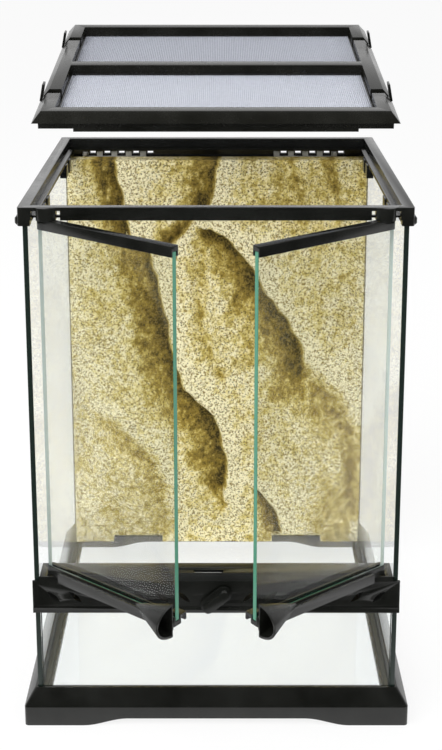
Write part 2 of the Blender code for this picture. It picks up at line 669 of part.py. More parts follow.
def build_vent_bar():
    plate_x = GLASS_X + VENT_OVERHANG
    plate_back = -GLASS_Y - FIT
    bar = box("vent_bar", (-VENT_X, VENT_FRONT, VENT_BOTTOM), (VENT_X, VENT_BACK, VENT_TOP), BLACK)
    join(bar,
         box("vent_face", (-plate_x, VENT_FRONT, VENT_BOTTOM),
             (plate_x, plate_back, VENT_TOP - VENT_CHAMFER)),
         box("vent_shelf", (-plate_x, VENT_FRONT - VENT_SHELF_PROUD, VENT_BOTTOM),
             (plate_x, plate_back, VENT_BOTTOM + VENT_SHELF)))
    slope = VENT_CHAMFER * math.sqrt(2)
    chamfer_x = HINGE_X - HINGE_TAIL
    chamfer = box("vent_chamfer", (-chamfer_x, -slope / 2, -slope / 2),
                  (chamfer_x, slope / 2, slope / 2))
    chamfer.rotation_euler = (math.radians(45), 0.0, 0.0)
    chamfer.location = (0.0, VENT_FRONT, VENT_TOP)
    cavity_x = HINGE_X - HINGE_TAIL - 0.004
    cavity = box("vent_cavity", (-cavity_x, VENT_FRONT + VENT_WALL, CAVITY_BOTTOM),
                 (cavity_x, VENT_BACK + 0.01, VENT_TOP - VENT_WALL))
    pane_slot = box("vent_pane_slot", (-VENT_X - 0.01, plate_back, VENT_BOTTOM - 0.01),
                    (VENT_X + 0.01, -INSIDE_Y + FIT, VENT_BOTTOM + VENT_SHELF))
    cut(bar, chamfer, cavity, pane_slot)

    for side, name in ((-1, "left"), (1, "right")):
        slots = []
        for index, x in enumerate(slot_centres()):
            lean = Matrix.Rotation(math.radians(90), 4, "X") @ Matrix.Rotation(
                math.radians(-side * SLOT_LEAN), 4, "Z")
            place = Matrix.Translation((side * x, VENT_FRONT + VENT_WALL / 2,
                                        VENT_BOTTOM + SLOT_HEIGHT))
            slots.append(plate(f"vent_slot_{name}_{index}",
                               leaf_outline(SLOT_LENGTH, SLOT_WIDTH), VENT_WALL * 2, place @ lean))
        cut(bar, *slots)
        hinge = side * HINGE_X
        cut(bar, cylinder(f"vent_pin_hole_{name}", HINGE_PIN_RADIUS + SHAFT_GAP,
                          (hinge, HINGE_Y, VENT_TOP - 0.010), (hinge, HINGE_Y, VENT_TOP + 0.01),
                          sides=16))
    cut(bar,
        cylinder("vent_lock_hole", SPINDLE_RADIUS + SHAFT_GAP,
                 (0, VENT_FRONT - 0.01, LOCK_HEIGHT), (0, VENT_FRONT + 0.01, LOCK_HEIGHT)),
        box("vent_cam_slot",
            (-CAM_REACH * 0.82, CAM_FRONT - CAM_CLEARANCE, VENT_TOP - 2 * VENT_WALL),
            (CAM_HALF_WIDTH + CAM_CLEARANCE, CAM_BACK + CAM_CLEARANCE, VENT_TOP + 0.01)))
    groove = SCREEN_THICKNESS + 2 * FIT
    cut(bar, box("vent_screen_groove",
                 (-cavity_x - VENT_WALL / 2, VENT_BACK - 2 * groove, CAVITY_BOTTOM - 0.001),
                 (cavity_x + VENT_WALL / 2, VENT_BACK - groove, VENT_TOP - VENT_WALL + 0.001)))
    screen = box("vent_screen",
                 (-cavity_x - VENT_WALL / 2 + FIT, VENT_BACK - 2 * groove + FIT,
                  CAVITY_BOTTOM - 0.001 + FIT),
                 (cavity_x + VENT_WALL / 2 - FIT, VENT_BACK - groove - FIT,
                  VENT_TOP - VENT_WALL + 0.001 - FIT), MESH)
    return bar, screen


# Lock: knob, spindle, cam and nut

def oblong(length, width, steps=8):
    """A bar outline with round ends."""
    radius = width / 2
    reach = length / 2 - radius
    right = [(reach + radius * math.sin(math.pi * i / steps), -radius * math.cos(math.pi * i / steps))
             for i in range(steps + 1)]
    return right + [(-u, -v) for u, v in right]


def build_lock():
    upright = Matrix.Rotation(math.radians(90), 4, "X")
    tilt = Matrix.Rotation(math.radians(KNOB_TILT), 4, "Z")
    disc_back = VENT_FRONT - VENT_SHELF_PROUD - FIT
    disc_middle = disc_back - KNOB_DISC / 2
    knob = plate("lock_knob", oblong(KNOB_LENGTH, KNOB_WIDTH), KNOB_DISC,
                 Matrix.Translation((0, disc_middle, LOCK_HEIGHT)) @ upright @ tilt, BLACK)
    grip_middle = disc_back - KNOB_DISC - KNOB_GRIP / 2 + 0.0005
    grip = plate("lock_grip", oblong(KNOB_LENGTH * 0.86, KNOB_WIDTH * 0.62), KNOB_GRIP,
                 Matrix.Translation((0, grip_middle, LOCK_HEIGHT)) @ upright @ tilt)
    socket = cylinder("lock_socket", NOSE_RADIUS + SHAFT_GAP,
                      (0, disc_back + 0.01, LOCK_HEIGHT),
                      (0, disc_back - KNOB_DISC - KNOB_GRIP / 2, LOCK_HEIGHT), sides=16)
    join(knob, grip)
    cut(knob, socket)

    nut_back = CAM_BACK + FIT + LOCK_NUT_THICKNESS
    spindle = cylinder("lock_spindle", SPINDLE_RADIUS, (0, VENT_FRONT, LOCK_HEIGHT),
                       (0, CAM_FRONT - FIT, LOCK_HEIGHT), STEEL)
    spindle_nose = cylinder("lock_spindle_nose", NOSE_RADIUS,
                            (0, disc_back - KNOB_DISC - KNOB_GRIP / 2 + FIT, LOCK_HEIGHT),
                            (0, nut_back + 0.001, LOCK_HEIGHT), sides=16)
    join(spindle, spindle_nose)

    arm = [(-CAM_REACH, -CAM_HALF_WIDTH), (-CAM_REACH, CAM_HALF_WIDTH),
           (-CAM_REACH * 0.6, CAM_HALF_WIDTH)]
    hub_radius = NOSE_RADIUS + 0.003
    hub = [(hub_radius * math.cos(a), hub_radius * math.sin(a))
           for a in [math.radians(120 - 240 * i / 10) for i in range(11)]]
    outline = arm + hub + [(-CAM_REACH * 0.6, -CAM_HALF_WIDTH)]
    lean = Matrix.Rotation(math.radians(-(90 - LOCK_LOCKED_TURN)), 4, "Z")
    cam = plate("lock_cam", outline, CAM_THICKNESS,
                Matrix.Translation((0, (CAM_FRONT + CAM_BACK) / 2, LOCK_HEIGHT)) @ upright @ lean,
                BLACK)
    cut(cam, cylinder("lock_cam_bore", NOSE_RADIUS + SHAFT_GAP,
                      (0, CAM_FRONT - 0.01, LOCK_HEIGHT), (0, CAM_BACK + 0.01, LOCK_HEIGHT),
                      sides=16))
    nut = cylinder("lock_nut", LOCK_NUT_RADIUS, (0, CAM_BACK + FIT, LOCK_HEIGHT),
                   (0, nut_back, LOCK_HEIGHT), STEEL, sides=6)
    cut(nut, cylinder("lock_nut_bore", NOSE_RADIUS + SHAFT_GAP,
                      (0, CAM_BACK - 0.01, LOCK_HEIGHT), (0, nut_back + 0.01, LOCK_HEIGHT),
                      sides=16))
    return [knob, spindle, cam, nut]


# Doors, modelled closed and hung on a pivot that holds them open

def rail_outline(side, thickness):
    """A door rail seen from above: round at the hinge end, square at the free edge."""
    radius = thickness / 2
    tail = HINGE_TAIL - radius
    hinge = side * HINGE_X
    round_end = [(hinge + side * (tail + radius * math.cos(a)), HINGE_Y + radius * math.sin(a))
                 for a in [math.radians(90 - 180 * i / 8) for i in range(9)]]
    free = side * DOOR_GAP / 2
    return round_end + [(free, HINGE_Y - radius), (free, HINGE_Y + radius)]


def handle_cone(name, side, shift, back):
    """Half of a flared cup along the rail, kept in front of a plane."""
    free = side * DOOR_GAP / 2
    middle_z = BOTTOM_RAIL_BOTTOM - RAIL_LIP_DROP - HANDLE_BOTTOM + HANDLE_HEIGHT / 2
    middle = Vector((free + side * (HANDLE_LENGTH / 2 - shift), RAIL_FRONT, middle_z))
    shape = Matrix.Diagonal((HANDLE_HEIGHT / 2, HANDLE_REACH, 1.0, 1.0))
    bm = bmesh.new()
    bmesh.ops.create_cone(bm, cap_ends=True, segments=28, radius1=1.0, radius2=HANDLE_TAPER,
                          depth=HANDLE_LENGTH,
                          matrix=Matrix.Translation(middle)
                          @ Matrix.Rotation(math.radians(side * 90), 4, "Y") @ shape)
    cone = add_object(name, mesh_from(name, bm))
    far = 0.06
    cut(cone, box(name + "_trim", (middle.x - far, back, middle_z - far),
                  (middle.x + far, RAIL_FRONT + far, middle_z + far)))
    return cone


def build_door(side, name):
    hinge = side * HINGE_X
    free = side * DOOR_GAP / 2
    glass_low = (hinge + side * (HINGE_TAIL - GLASS_SIDE_MARGIN), HINGE_Y - GLASS / 2,
                 BOTTOM_RAIL_BOTTOM + BOTTOM_CHANNEL_FLOOR + FIT)
    glass_high = (free + side * FIT, HINGE_Y + GLASS / 2,
                  TOP_RAIL_BOTTOM + TOP_CHANNEL - FIT)
    low_x, high_x = sorted((glass_low[0], glass_high[0]))
    glass = box(f"{name}_door_glass", (low_x, glass_low[1], glass_low[2]),
                (high_x, glass_high[1], glass_high[2]), CLEAR)

    channel_half = GLASS / 2 + FIT
    channel_x = sorted((hinge + side * (HINGE_TAIL - GLASS_SIDE_MARGIN + FIT), free - side * 0.01))
    top_middle = (TOP_RAIL_TOP + TOP_RAIL_BOTTOM) / 2
    top = plate(f"{name}_door_top_rail", rail_outline(side, RAIL_THICKNESS), TOP_RAIL_HEIGHT,
                Matrix.Translation((0, 0, top_middle)), BLACK)
    pin_top_low = TOP_RAIL_BOTTOM + TOP_CHANNEL + 0.0006
    cut(top,
        box(f"{name}_top_channel", (channel_x[0], HINGE_Y - channel_half, TOP_RAIL_BOTTOM - 0.01),
            (channel_x[1], HINGE_Y + channel_half, TOP_RAIL_BOTTOM + TOP_CHANNEL)),
        cylinder(f"{name}_top_pin_hole", HINGE_PIN_RADIUS + SHAFT_GAP,
                 (hinge, HINGE_Y, pin_top_low), (hinge, HINGE_Y, TOP_RAIL_TOP + 0.01), sides=16))

    bottom_middle = (BOTTOM_RAIL_BOTTOM + BOTTOM_RAIL_TOP) / 2
    bottom = plate(f"{name}_door_bottom_rail", rail_outline(side, RAIL_THICKNESS),
                   BOTTOM_RAIL_HEIGHT, Matrix.Translation((0, 0, bottom_middle)), BLACK)
    lip_x = sorted((hinge - side * RAIL_LIP_START, free + side * 0.0002))
    lip_bottom = BOTTOM_RAIL_BOTTOM - RAIL_LIP_DROP
    lip_top = BOTTOM_RAIL_TOP - RAIL_LIP_TOP
    into_rail = RAIL_FRONT + 0.0008
    step = BOTTOM_RAIL_BOTTOM + 0.0002
    lip = profile(f"{name}_rail_lip",
                  [(LIP_FRONT, lip_bottom), (LIP_BACK, lip_bottom), (LIP_BACK, step),
                   (into_rail, step), (into_rail, lip_top), (LIP_FRONT, lip_top)], *lip_x)
    cup = handle_cone(f"{name}_handle_cup", side, -0.0004, LIP_BACK - 0.0005)
    hollow = handle_cone(f"{name}_handle_hollow", side, HANDLE_WALL_SHIFT,
                         LIP_BACK - HANDLE_BACK)
    arm_top = BOTTOM_RAIL_BOTTOM + TONGUE_TOP
    tongue_x = sorted((free + side * 0.0005, free + side * (0.0005 + TONGUE_WIDTH)))
    tongue_back = RAIL_BACK + TONGUE_REACH
    hook_front = tongue_back - TONGUE_HOOK
    hook_bottom = BOTTOM_RAIL_BOTTOM + TONGUE_HOOK_GAP
    arm_bottom = arm_top - TONGUE_ARM
    into_back = RAIL_BACK - 0.001
    tongue = profile(f"{name}_latch_tongue",
                     [(into_back, arm_bottom), (hook_front, arm_bottom), (hook_front, hook_bottom),
                      (tongue_back, hook_bottom), (tongue_back, arm_top), (into_back, arm_top)],
                     *tongue_x)
    join(bottom, lip, cup, tongue)
    cut(bottom, hollow,
        box(f"{name}_bottom_channel",
            (channel_x[0], HINGE_Y - channel_half, BOTTOM_RAIL_BOTTOM + BOTTOM_CHANNEL_FLOOR),
            (channel_x[1], HINGE_Y + channel_half, BOTTOM_RAIL_TOP + 0.01)),
        cylinder(f"{name}_bottom_pin_hole", HINGE_PIN_RADIUS + SHAFT_GAP,
                 (hinge, HINGE_Y, BOTTOM_RAIL_BOTTOM - 0.001),
                 (hinge, HINGE_Y, BOTTOM_RAIL_BOTTOM + BOTTOM_CHANNEL_FLOOR - 0.0006), sides=16))

    pins = [cylinder(f"{name}_top_hinge_pin", HINGE_PIN_RADIUS,
                     (hinge, HINGE_Y, pin_top_low + FIT), (hinge, HINGE_Y, PANE_TOP - FIT), STEEL,
                     sides=16),
            cylinder(f"{name}_bottom_hinge_pin", HINGE_PIN_RADIUS,
                     (hinge, HINGE_Y, VENT_TOP - 0.010 + FIT),
                     (hinge, HINGE_Y, BOTTOM_RAIL_BOTTOM + BOTTOM_CHANNEL_FLOOR - 0.0006 - FIT),
                     STEEL, sides=16)]
    turn = side * DOOR_OPEN
    door_pivot = pivot(f"{name}_door_pivot", (hinge, HINGE_Y, TANK_HEIGHT / 2), (0, 0, turn))
    hang(door_pivot, glass, top, bottom)
    return door_pivot, pins


# Lid, modelled in its seat and hung on an axis that holds it lifted

def mesh_window(front):
    """Front and rear Y of one window of the lid."""
    half_bar = LID_CROSSBAR / 2
    return (-LID_INNER_Y, -half_bar) if front else (half_bar, LID_INNER_Y)


def build_lid_frame():
    lid = frustum("lid_frame", (LID_FLANGE_X, LID_FLANGE_Y), (LID_TOP_X, LID_TOP_Y),
                  LID_FLANGE_Z, TANK_HEIGHT, LID_GREY)
    overlap = 0.0008
    join(lid,
         box("lid_skirt", (-LID_SKIRT_X, -LID_SKIRT_Y, LID_SKIRT_Z),
             (LID_SKIRT_X, LID_SKIRT_Y, LID_FLANGE_Z + overlap)),
         boxes("lid_aprons", [
             ((-LID_APRON_HALF, -LID_SKIRT_Y, LID_APRON_Z),
              (LID_APRON_HALF, -LID_SKIRT_Y + LID_APRON_DEPTH, LID_SKIRT_Z + overlap)),
             ((-LID_APRON_HALF, LID_SKIRT_Y - LID_APRON_DEPTH, LID_APRON_Z),
              (LID_APRON_HALF, LID_SKIRT_Y, LID_SKIRT_Z + overlap))]))
    windows = []
    seats = []
    for front in (True, False):
        y_low, y_high = mesh_window(front)
        windows.append(((-LID_INNER_X, y_low, MESH_Z - FIT), (LID_INNER_X, y_high, TANK_HEIGHT + 0.01)))
        seats.append(((-LID_INNER_X + MESH_SEAT, y_low + MESH_SEAT, LID_APRON_Z - 0.01),
                      (LID_INNER_X - MESH_SEAT, y_high - MESH_SEAT, TANK_HEIGHT + 0.01)))
    underside = []
    for front in (True, False):
        y_low, y_high = mesh_window(front)
        underside.append(((-LID_INNER_X, y_low, LID_SKIRT_Z - 0.01),
                          (LID_INNER_X, y_high, MESH_Z - FIT - MESH_SEAT_THICKNESS)))
    cut(lid, boxes("lid_windows", windows), boxes("lid_seats", seats),
        boxes("lid_underside", underside))

    notch_half = CLIP_WIDTH / 2 + CLIP_SIDE_GAP
    notch_inner = CLIP_X - CLIP_TOE * 0.62
    hole = CLIP_JOURNAL_RADIUS + SHAFT_GAP
    for side, side_name in ((-1, "left"), (1, "right")):
        for y, y_name in ((-CLIP_Y, "front"), (CLIP_Y, "rear")):
            x_low, x_high = sorted((side * notch_inner, side * (LID_FLANGE_X + 0.01)))
            cut(lid,
                box(f"lid_notch_{side_name}_{y_name}", (x_low, y - notch_half, LID_APRON_Z - 0.01),
                    (x_high, y + notch_half, TANK_HEIGHT + 0.01)),
                cylinder(f"lid_journal_hole_{side_name}_{y_name}", hole,
                         (side * CLIP_X, y - notch_half - CLIP_JOURNAL - FIT, CLIP_Z),
                         (side * CLIP_X, y + notch_half + CLIP_JOURNAL + FIT, CLIP_Z), sides=16))
    return lid


def build_mesh(front):
    """A net of square gaps: each cell of a grid keeps only its rim, which is then given depth."""
    name = "front_lid_mesh" if front else "rear_lid_mesh"
    y_low, y_high = mesh_window(front)
    width = 2 * (LID_INNER_X - FIT)
    depth = (y_high - y_low) - 2 * FIT
    bm = bmesh.new()
    place = Matrix.Translation((0.0, (y_low + y_high) / 2, MESH_Z))
    bmesh.ops.create_grid(bm, x_segments=MESH_GAPS_ACROSS, y_segments=MESH_GAPS_DEEP, size=0.5,
                          matrix=place @ Matrix.Diagonal((width, depth, 1.0, 1.0)))
    cells = list(bm.faces)
    bmesh.ops.inset_individual(bm, faces=cells, thickness=MESH_WIRE / 2, use_even_offset=True)
    bmesh.ops.delete(bm, geom=cells, context="FACES_ONLY")
    net = add_object(name, mesh_from(name, bm), MESH)
    wire = net.modifiers.new("wire", "SOLIDIFY")
    wire.thickness = MESH_WIRE
    wire.offset = 1.0
    return net


def build_retainer(front):
    name = "front_mesh_retainer" if front else "rear_mesh_retainer"
    y_low, y_high = mesh_window(front)
    low_z = MESH_Z + MESH_WIRE + FIT
    high_z = low_z + RETAINER_HEIGHT
    x = LID_INNER_X - FIT
    ring = box(name, (-x, y_low + FIT, low_z), (x, y_high - FIT, high_z), LID_GREY)
    cut(ring, box(name + "_inside",
                  (-x + RETAINER_WIDTH, y_low + FIT + RETAINER_WIDTH, low_z - 0.01),
                  (x - RETAINER_WIDTH, y_high - FIT - RETAINER_WIDTH, high_z + 0.01)))
    return ring


def clip_outline():
    """The clip seen along its pivot, locked: x outwards, z up, pivot at the origin."""
    half = CLIP_PLATE / 2
    toe = math.radians(CLIP_TOE_ANGLE)
    along = Vector((math.cos(toe), math.sin(toe)))
    across = Vector((-along.y, along.x))
    tip_low = along * CLIP_TOE - across * half
    tip_high = along * CLIP_TOE + across * half
    root = half + 0.0012
    top_low = CLIP_RISE
    top_high = CLIP_RISE + CLIP_PLATE
    return [(-root, -root), (root * 0.6, -root * 1.3), (tip_low.x, tip_low.y),
            (tip_high.x, tip_high.y), (root, root * 0.4), (half * 0.5, top_high),
            (-CLIP_LEVER, top_high), (-CLIP_LEVER, top_low), (-half - 0.0004, top_low),
            (-root, root)]


def build_clip(side, y, name):
    outline = clip_outline()
    if side < 0:
        outline = [(-u, v) for u, v in outline]
    axis = Vector((side * CLIP_X, y, CLIP_Z))
    clip = plate(name, outline, CLIP_WIDTH,
                 Matrix.Translation(axis) @ Matrix.Rotation(math.radians(90), 4, "X"), BLACK)
    reach = CLIP_WIDTH / 2 + CLIP_SIDE_GAP + CLIP_JOURNAL
    join(clip, cylinder(name + "_journal", CLIP_JOURNAL_RADIUS,
                        axis - Vector((0, reach, 0)), axis + Vector((0, reach, 0)), sides=16))
    clip_pivot = pivot(name + "_pivot", axis, (0, side * CLIP_TURN, 0))
    hang(clip_pivot, clip)
    return clip_pivot


def build_lid():
    lid_axis = Vector((0.0, -LID_SWING_FRONT, TANK_HEIGHT + LID_SWING_RISE))
    lid_pivot = pivot("lid_pivot", lid_axis, (LID_LIFT_ANGLE, 0, 0))
    pieces = [build_lid_frame()]
    for front in (True, False):
        pieces += [build_mesh(front), build_retainer(front)]
    for side, side_name in ((-1, "left"), (1, "right")):
        for y, y_name in ((-CLIP_Y, "front"), (CLIP_Y, "rear")):
            pieces.append(build_clip(side, y, f"{side_name}_{y_name}_clip"))
    for piece in pieces:
        if piece.type == "EMPTY":
            piece.parent = lid_pivot
            piece.matrix_parent_inverse = Matrix.Translation(-lid_axis)
        else:
            hang(lid_pivot, piece)
    return lid_pivot


# Rock background: a foam panel of slabs that overlap at slanting clefts

# Where each cleft starts and ends, as shares of the panel's width and height from its lower
# left corner, how far it bows to the right, and its depth as a share of the deepest.
ROCK_CLEFTS = (
    ((0.25, 0.76), (0.50, 0.30), 0.02, 1.0),
    ((0.50, 0.84), (0.97, 0.32), 0.03, 1.0),
    ((0.49, 1.00), (0.32, 0.81), 0.06, 0.8),
    ((0.09, 1.00), (0.19, 0.78), 0.00, 0.6),
    ((0.16, 0.34), (0.29, 0.08), 0.03, 0.45),
    ((0.63, 0.18), (0.71, 0.03), 0.02, 0.6),
)


def cleft_depth(u, v):
    """How deep the clefts cut at a point of the panel, 0 on a slab and 1 at the deepest."""
    deepest = 0.0
    tall = (ROCK_TOP - ROCK_BOTTOM) / (2 * ROCK_X)
    for (u_top, v_top), (u_low, v_low), bow, share in ROCK_CLEFTS:
        along = (v_top - v) / (v_top - v_low)
        inside = min(1.0, max(0.0, along))
        middle = u_top + (u_low - u_top) * inside + bow * math.sin(math.pi * inside)
        beyond = abs(along - inside) * (v_top - v_low) * tall
        away = math.hypot(u - middle, beyond)
        width = ROCK_SLAB_EDGE if u > middle else ROCK_SLAB_SLOPE
        if away < width:
            deepest = max(deepest, share * smooth_step(1.0 - away / width))
    return deepest


def rock_swell(u, v):
    """Broad swelling of the slabs from -1 to 1."""
    broad = math.sin(2 * math.pi * (1.3 * u - 0.8 * v + 0.1))
    folds = 0.5 * math.sin(2 * math.pi * (2.9 * u + 1.1 * v + 0.4))
    steps = 0.35 * math.sin(2 * math.pi * (2.3 * v - 0.7 * u))
    return (broad + folds + steps) / 1.85


def build_rock():
    bm = bmesh.new()
    width = 2 * ROCK_X
    height = ROCK_TOP - ROCK_BOTTOM
    front = Matrix.Translation((0.0, ROCK_FRONT, (ROCK_TOP + ROCK_BOTTOM) / 2)) @ Matrix.Rotation(
        math.radians(90), 4, "X") @ Matrix.Diagonal((width, height, 1.0, 1.0))
    bmesh.ops.create_grid(bm, x_segments=ROCK_COLUMNS, y_segments=ROCK_ROWS, size=0.5,
                          matrix=front)
    for vert in bm.verts:
        u = vert.co.x / width + 0.5
        v = (vert.co.z - ROCK_BOTTOM) / height
        edge = min(u, 1 - u, v, 1 - v)
        ease = smooth_step(min(1.0, edge / 0.06))
        vert.co.y += (ROCK_SLAB_STEP * cleft_depth(u, v) - ROCK_RELIEF * rock_swell(u, v)) * ease
    rim = bmesh.ops.extrude_edge_only(bm, edges=[e for e in bm.edges if e.is_boundary])
    back = [g for g in rim["geom"] if isinstance(g, bmesh.types.BMVert)]
    for vert in back:
        vert.co.y = ROCK_BACK
    bmesh.ops.contextual_create(bm, geom=[e for e in bm.edges if e.is_boundary])
    bmesh.ops.recalc_face_normals(bm, faces=bm.faces)
    rock = add_object("rock_background", mesh_from("rock_background", bm), ROCK)
    notch_centre = ROCK_X - ROCK_NOTCH_FROM_SIDE
    notches = [((x - ROCK_NOTCH_HALF, ROCK_FRONT - 0.03, ROCK_BOTTOM - 0.01),
                (x + ROCK_NOTCH_HALF, ROCK_BACK - 0.004, ROCK_BOTTOM + ROCK_NOTCH_HEIGHT))
               for x in (-notch_centre, notch_centre)]
    cut(rock, boxes("rock_notches", notches))
    return rock


# Assembly

def build():
    base = build_base()
    frame = build_top_frame()
    fixed = [base, frame, build_rock(), build_shutter(-1, "left"), build_shutter(1, "right")]
    fixed += build_panes()
    fixed += build_seals()
    fixed += build_vent_bar()
    left_pivot, left_pins = build_door(-1, "left")
    right_pivot, right_pins = build_door(1, "right")
    fixed += left_pins + right_pins
    lock_pivot = pivot("lock_pivot", LOCK_AXIS)
    hang(lock_pivot, *build_lock())
    centre = pivot("tank_centre", (0.0, TANK_SETBACK, 0.0))
    for piece in fixed + [left_pivot, right_pivot, lock_pivot, build_lid()]:
        piece.parent = centre


build()
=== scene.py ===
import json
import math

import bmesh
import bpy
from mathutils import Matrix, Vector, noise

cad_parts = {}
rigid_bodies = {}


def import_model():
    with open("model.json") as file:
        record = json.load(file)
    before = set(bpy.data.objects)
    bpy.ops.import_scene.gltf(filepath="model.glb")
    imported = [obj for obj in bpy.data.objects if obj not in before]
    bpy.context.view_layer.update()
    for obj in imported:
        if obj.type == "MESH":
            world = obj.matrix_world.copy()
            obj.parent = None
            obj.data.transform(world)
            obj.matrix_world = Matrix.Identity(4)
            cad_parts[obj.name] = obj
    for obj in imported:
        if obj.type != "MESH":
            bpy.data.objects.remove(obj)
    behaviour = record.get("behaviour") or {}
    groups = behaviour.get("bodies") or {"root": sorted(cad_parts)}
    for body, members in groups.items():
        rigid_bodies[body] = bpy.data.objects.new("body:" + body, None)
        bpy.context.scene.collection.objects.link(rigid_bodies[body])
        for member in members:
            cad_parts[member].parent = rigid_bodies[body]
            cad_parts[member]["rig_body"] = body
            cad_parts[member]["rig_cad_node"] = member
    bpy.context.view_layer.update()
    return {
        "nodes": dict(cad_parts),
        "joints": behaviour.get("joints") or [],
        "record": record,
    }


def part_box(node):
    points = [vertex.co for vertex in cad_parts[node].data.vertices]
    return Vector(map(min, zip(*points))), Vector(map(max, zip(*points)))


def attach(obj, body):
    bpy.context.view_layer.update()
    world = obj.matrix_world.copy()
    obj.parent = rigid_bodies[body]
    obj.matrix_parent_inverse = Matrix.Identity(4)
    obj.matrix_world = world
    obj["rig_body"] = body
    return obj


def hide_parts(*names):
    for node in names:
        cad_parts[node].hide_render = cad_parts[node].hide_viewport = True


bl_info = {
    "name": "Glass terrarium",
    "version": (1, 0, 0),
    "blender": (4, 5, 0),
    "location": "3D View > Sidebar > Terrarium",
    "description": "Dresses the terrarium's solids: glass, mouldings, rock wall, screens and stage",
    "category": "Object",
}

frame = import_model()
NODES = frame["nodes"]
JOINTS = {joint["name"]: joint for joint in frame["joints"]}
TANK_CENTRE_Y = sum(corner.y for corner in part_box("base_frame")) / 2
DOOR_AT_REST = math.radians(-JOINTS["left_door_swing"]["range_deg"][0])
LID_AT_REST = math.radians(-JOINTS["lid_lift"]["range_deg"][0])
LID_AXIS = Vector(JOINTS["lid_lift"]["pos_m"])


# Sizes and colours a user would change

def colour_property(name, description, hex_text):
    return bpy.props.FloatVectorProperty(name=name, description=description, subtype="COLOR",
                                         size=3, min=0.0, max=1.0, default=linear(hex_text)[:3])


def linear(hex_text):
    """An sRGB hex colour as linear red, green, blue and alpha."""
    values = [int(hex_text[i:i + 2], 16) / 255 for i in (1, 3, 5)]
    curve = [v / 12.92 if v <= 0.04045 else ((v + 0.055) / 1.055) ** 2.4 for v in values]
    return (*curve, 1.0)


class MouldingSettings(bpy.types.PropertyGroup):
    frame_edge: bpy.props.FloatProperty(
        name="Frame edges", description="Rounding of the moulded frames' edges",
        default=0.0005, min=0.0001, max=0.002, unit="LENGTH", precision=5)
    fine_edge: bpy.props.FloatProperty(
        name="Small edges", description="Rounding on the clips, lock and shutters",
        default=0.00025, min=0.00005, max=0.001, unit="LENGTH", precision=5)
    black: colour_property("Frame black", "Colour of the moulded frames", "#0D0E0B")
    lid: colour_property("Lid grey", "Colour of the lid's frame", "#10100C")
    shutter: colour_property("Shutter grey", "Colour of the cable shutters", "#8C8B85")


class GlassSettings(bpy.types.PropertyGroup):
    arris: bpy.props.FloatProperty(
        name="Arris", description="Ground edge of each pane",
        default=0.0004, min=0.0001, max=0.001, unit="LENGTH", precision=5)
    tint: colour_property("Glass tint", "Tint seen through a pane", "#FEFFFF")
    clean: bpy.props.FloatProperty(
        name="Straight light", description="Share of the light that passes without bending",
        default=0.92, min=0.0, max=1.0, subtype="FACTOR")
    gloss: bpy.props.FloatProperty(
        name="Reflection", description="Strength of the panes' reflections",
        default=0.5, min=0.0, max=2.0, subtype="FACTOR")
    free_edge: colour_property("Door edge", "Colour of the doors' free edges", "#47836B")
    pinned_edge: colour_property("Hinge edge", "Colour of the doors' edges at the hinges",
                                 "#A9B5AF")
    bonded_edge: colour_property("Bonded edge", "Colour of the fixed panes' edges", "#18241F")


class ScreenSettings(bpy.types.PropertyGroup):
    pitch: bpy.props.FloatProperty(
        name="Wire pitch", description="Distance from wire to wire",
        default=0.0016, min=0.001, max=0.004, unit="LENGTH", precision=5)
    wire: bpy.props.FloatProperty(
        name="Wire", description="Thickness of one wire",
        default=0.0005, min=0.0002, max=0.0006, unit="LENGTH", precision=5)
    steel: colour_property("Lid wire", "Colour of the wire in the lid", "#BFC2CC")
    # near black: painted shade seen through the vent bar's slots
    dark: colour_property("Vent wire", "Colour of the wire behind the slots", "#141513")


class RockSettings(bpy.types.PropertyGroup):
    columns: bpy.props.IntProperty(
        name="Columns", description="Faces across the rock wall", default=168, min=24, max=300)
    rows: bpy.props.IntProperty(
        name="Rows", description="Faces up the rock wall", default=232, min=32, max=400)
    thickness: bpy.props.FloatProperty(
        name="Thickness", description="From the wall's back to the middle of its face",
        default=0.018, min=0.015, max=0.02, unit="LENGTH", precision=4)
    depth: bpy.props.FloatProperty(
        name="Cleft depth", description="How deep the deepest cleft goes",
        default=0.0115, min=0.002, max=0.013, unit="LENGTH", precision=4)
    cream: colour_property("Cream", "Colour of the raised slabs", "#F6EDC4")
    ochre: colour_property("Ochre", "Colour of the slopes", "#9C8434")
    shade: colour_property("Shade", "Colour in the deepest clefts", "#352D10")


class StageSettings(bpy.types.PropertyGroup):
    floor_size: bpy.props.FloatProperty(
        name="Floor", description="Side of the floor", default=30.0, min=4.0, unit="LENGTH")
    ambient: bpy.props.FloatProperty(
        name="Ambient", description="Strength of the even light", default=0.76, min=0.0, max=2.0)
    key_power: bpy.props.FloatProperty(
        name="Key lamp", description="Power of the large lamp", default=74.0, min=0.0,
        subtype="POWER")
    fill_power: bpy.props.FloatProperty(
        name="Fill lamp", description="Power of the lamp on the other side", default=16.0,
        min=0.0, subtype="POWER")


SETTINGS = {"moulding": MouldingSettings, "glass": GlassSettings, "screens": ScreenSettings,
            "rock": RockSettings, "stage": StageSettings}


def settings(name):
    return getattr(bpy.context.scene, "terrarium_" + name)


# Modelling helpers

MERGE_DISTANCE = 0.000005       # corners of a CAD piece's triangles nearer than this are one
FLAT = math.radians(0.5)        # triangles this flat to each other make one face
SHARP = math.radians(32)        # a moulding's sharper edges are rounded
GROUND = math.radians(40)       # a pane's sharper edges are ground
SMOOTH = math.radians(35)       # faces that meet more gently are shaded as one
SOFT = math.radians(60)         # the same on wires and on the rock


def deselect():
    bpy.ops.object.select_all(action="DESELECT")


def only(obj):
    deselect()
    obj.select_set(True)
    bpy.context.view_layer.objects.active = obj


def named(name):
    """The object a primitive or a copy has just made, under its own name."""
    obj = bpy.context.view_layer.objects.active
    obj.name = name
    obj.data.name = name
    return obj


def rest_on_origin():
    """Puts the active object's place into its mesh."""
    bpy.ops.object.transform_apply(location=True, rotation=True, scale=True)


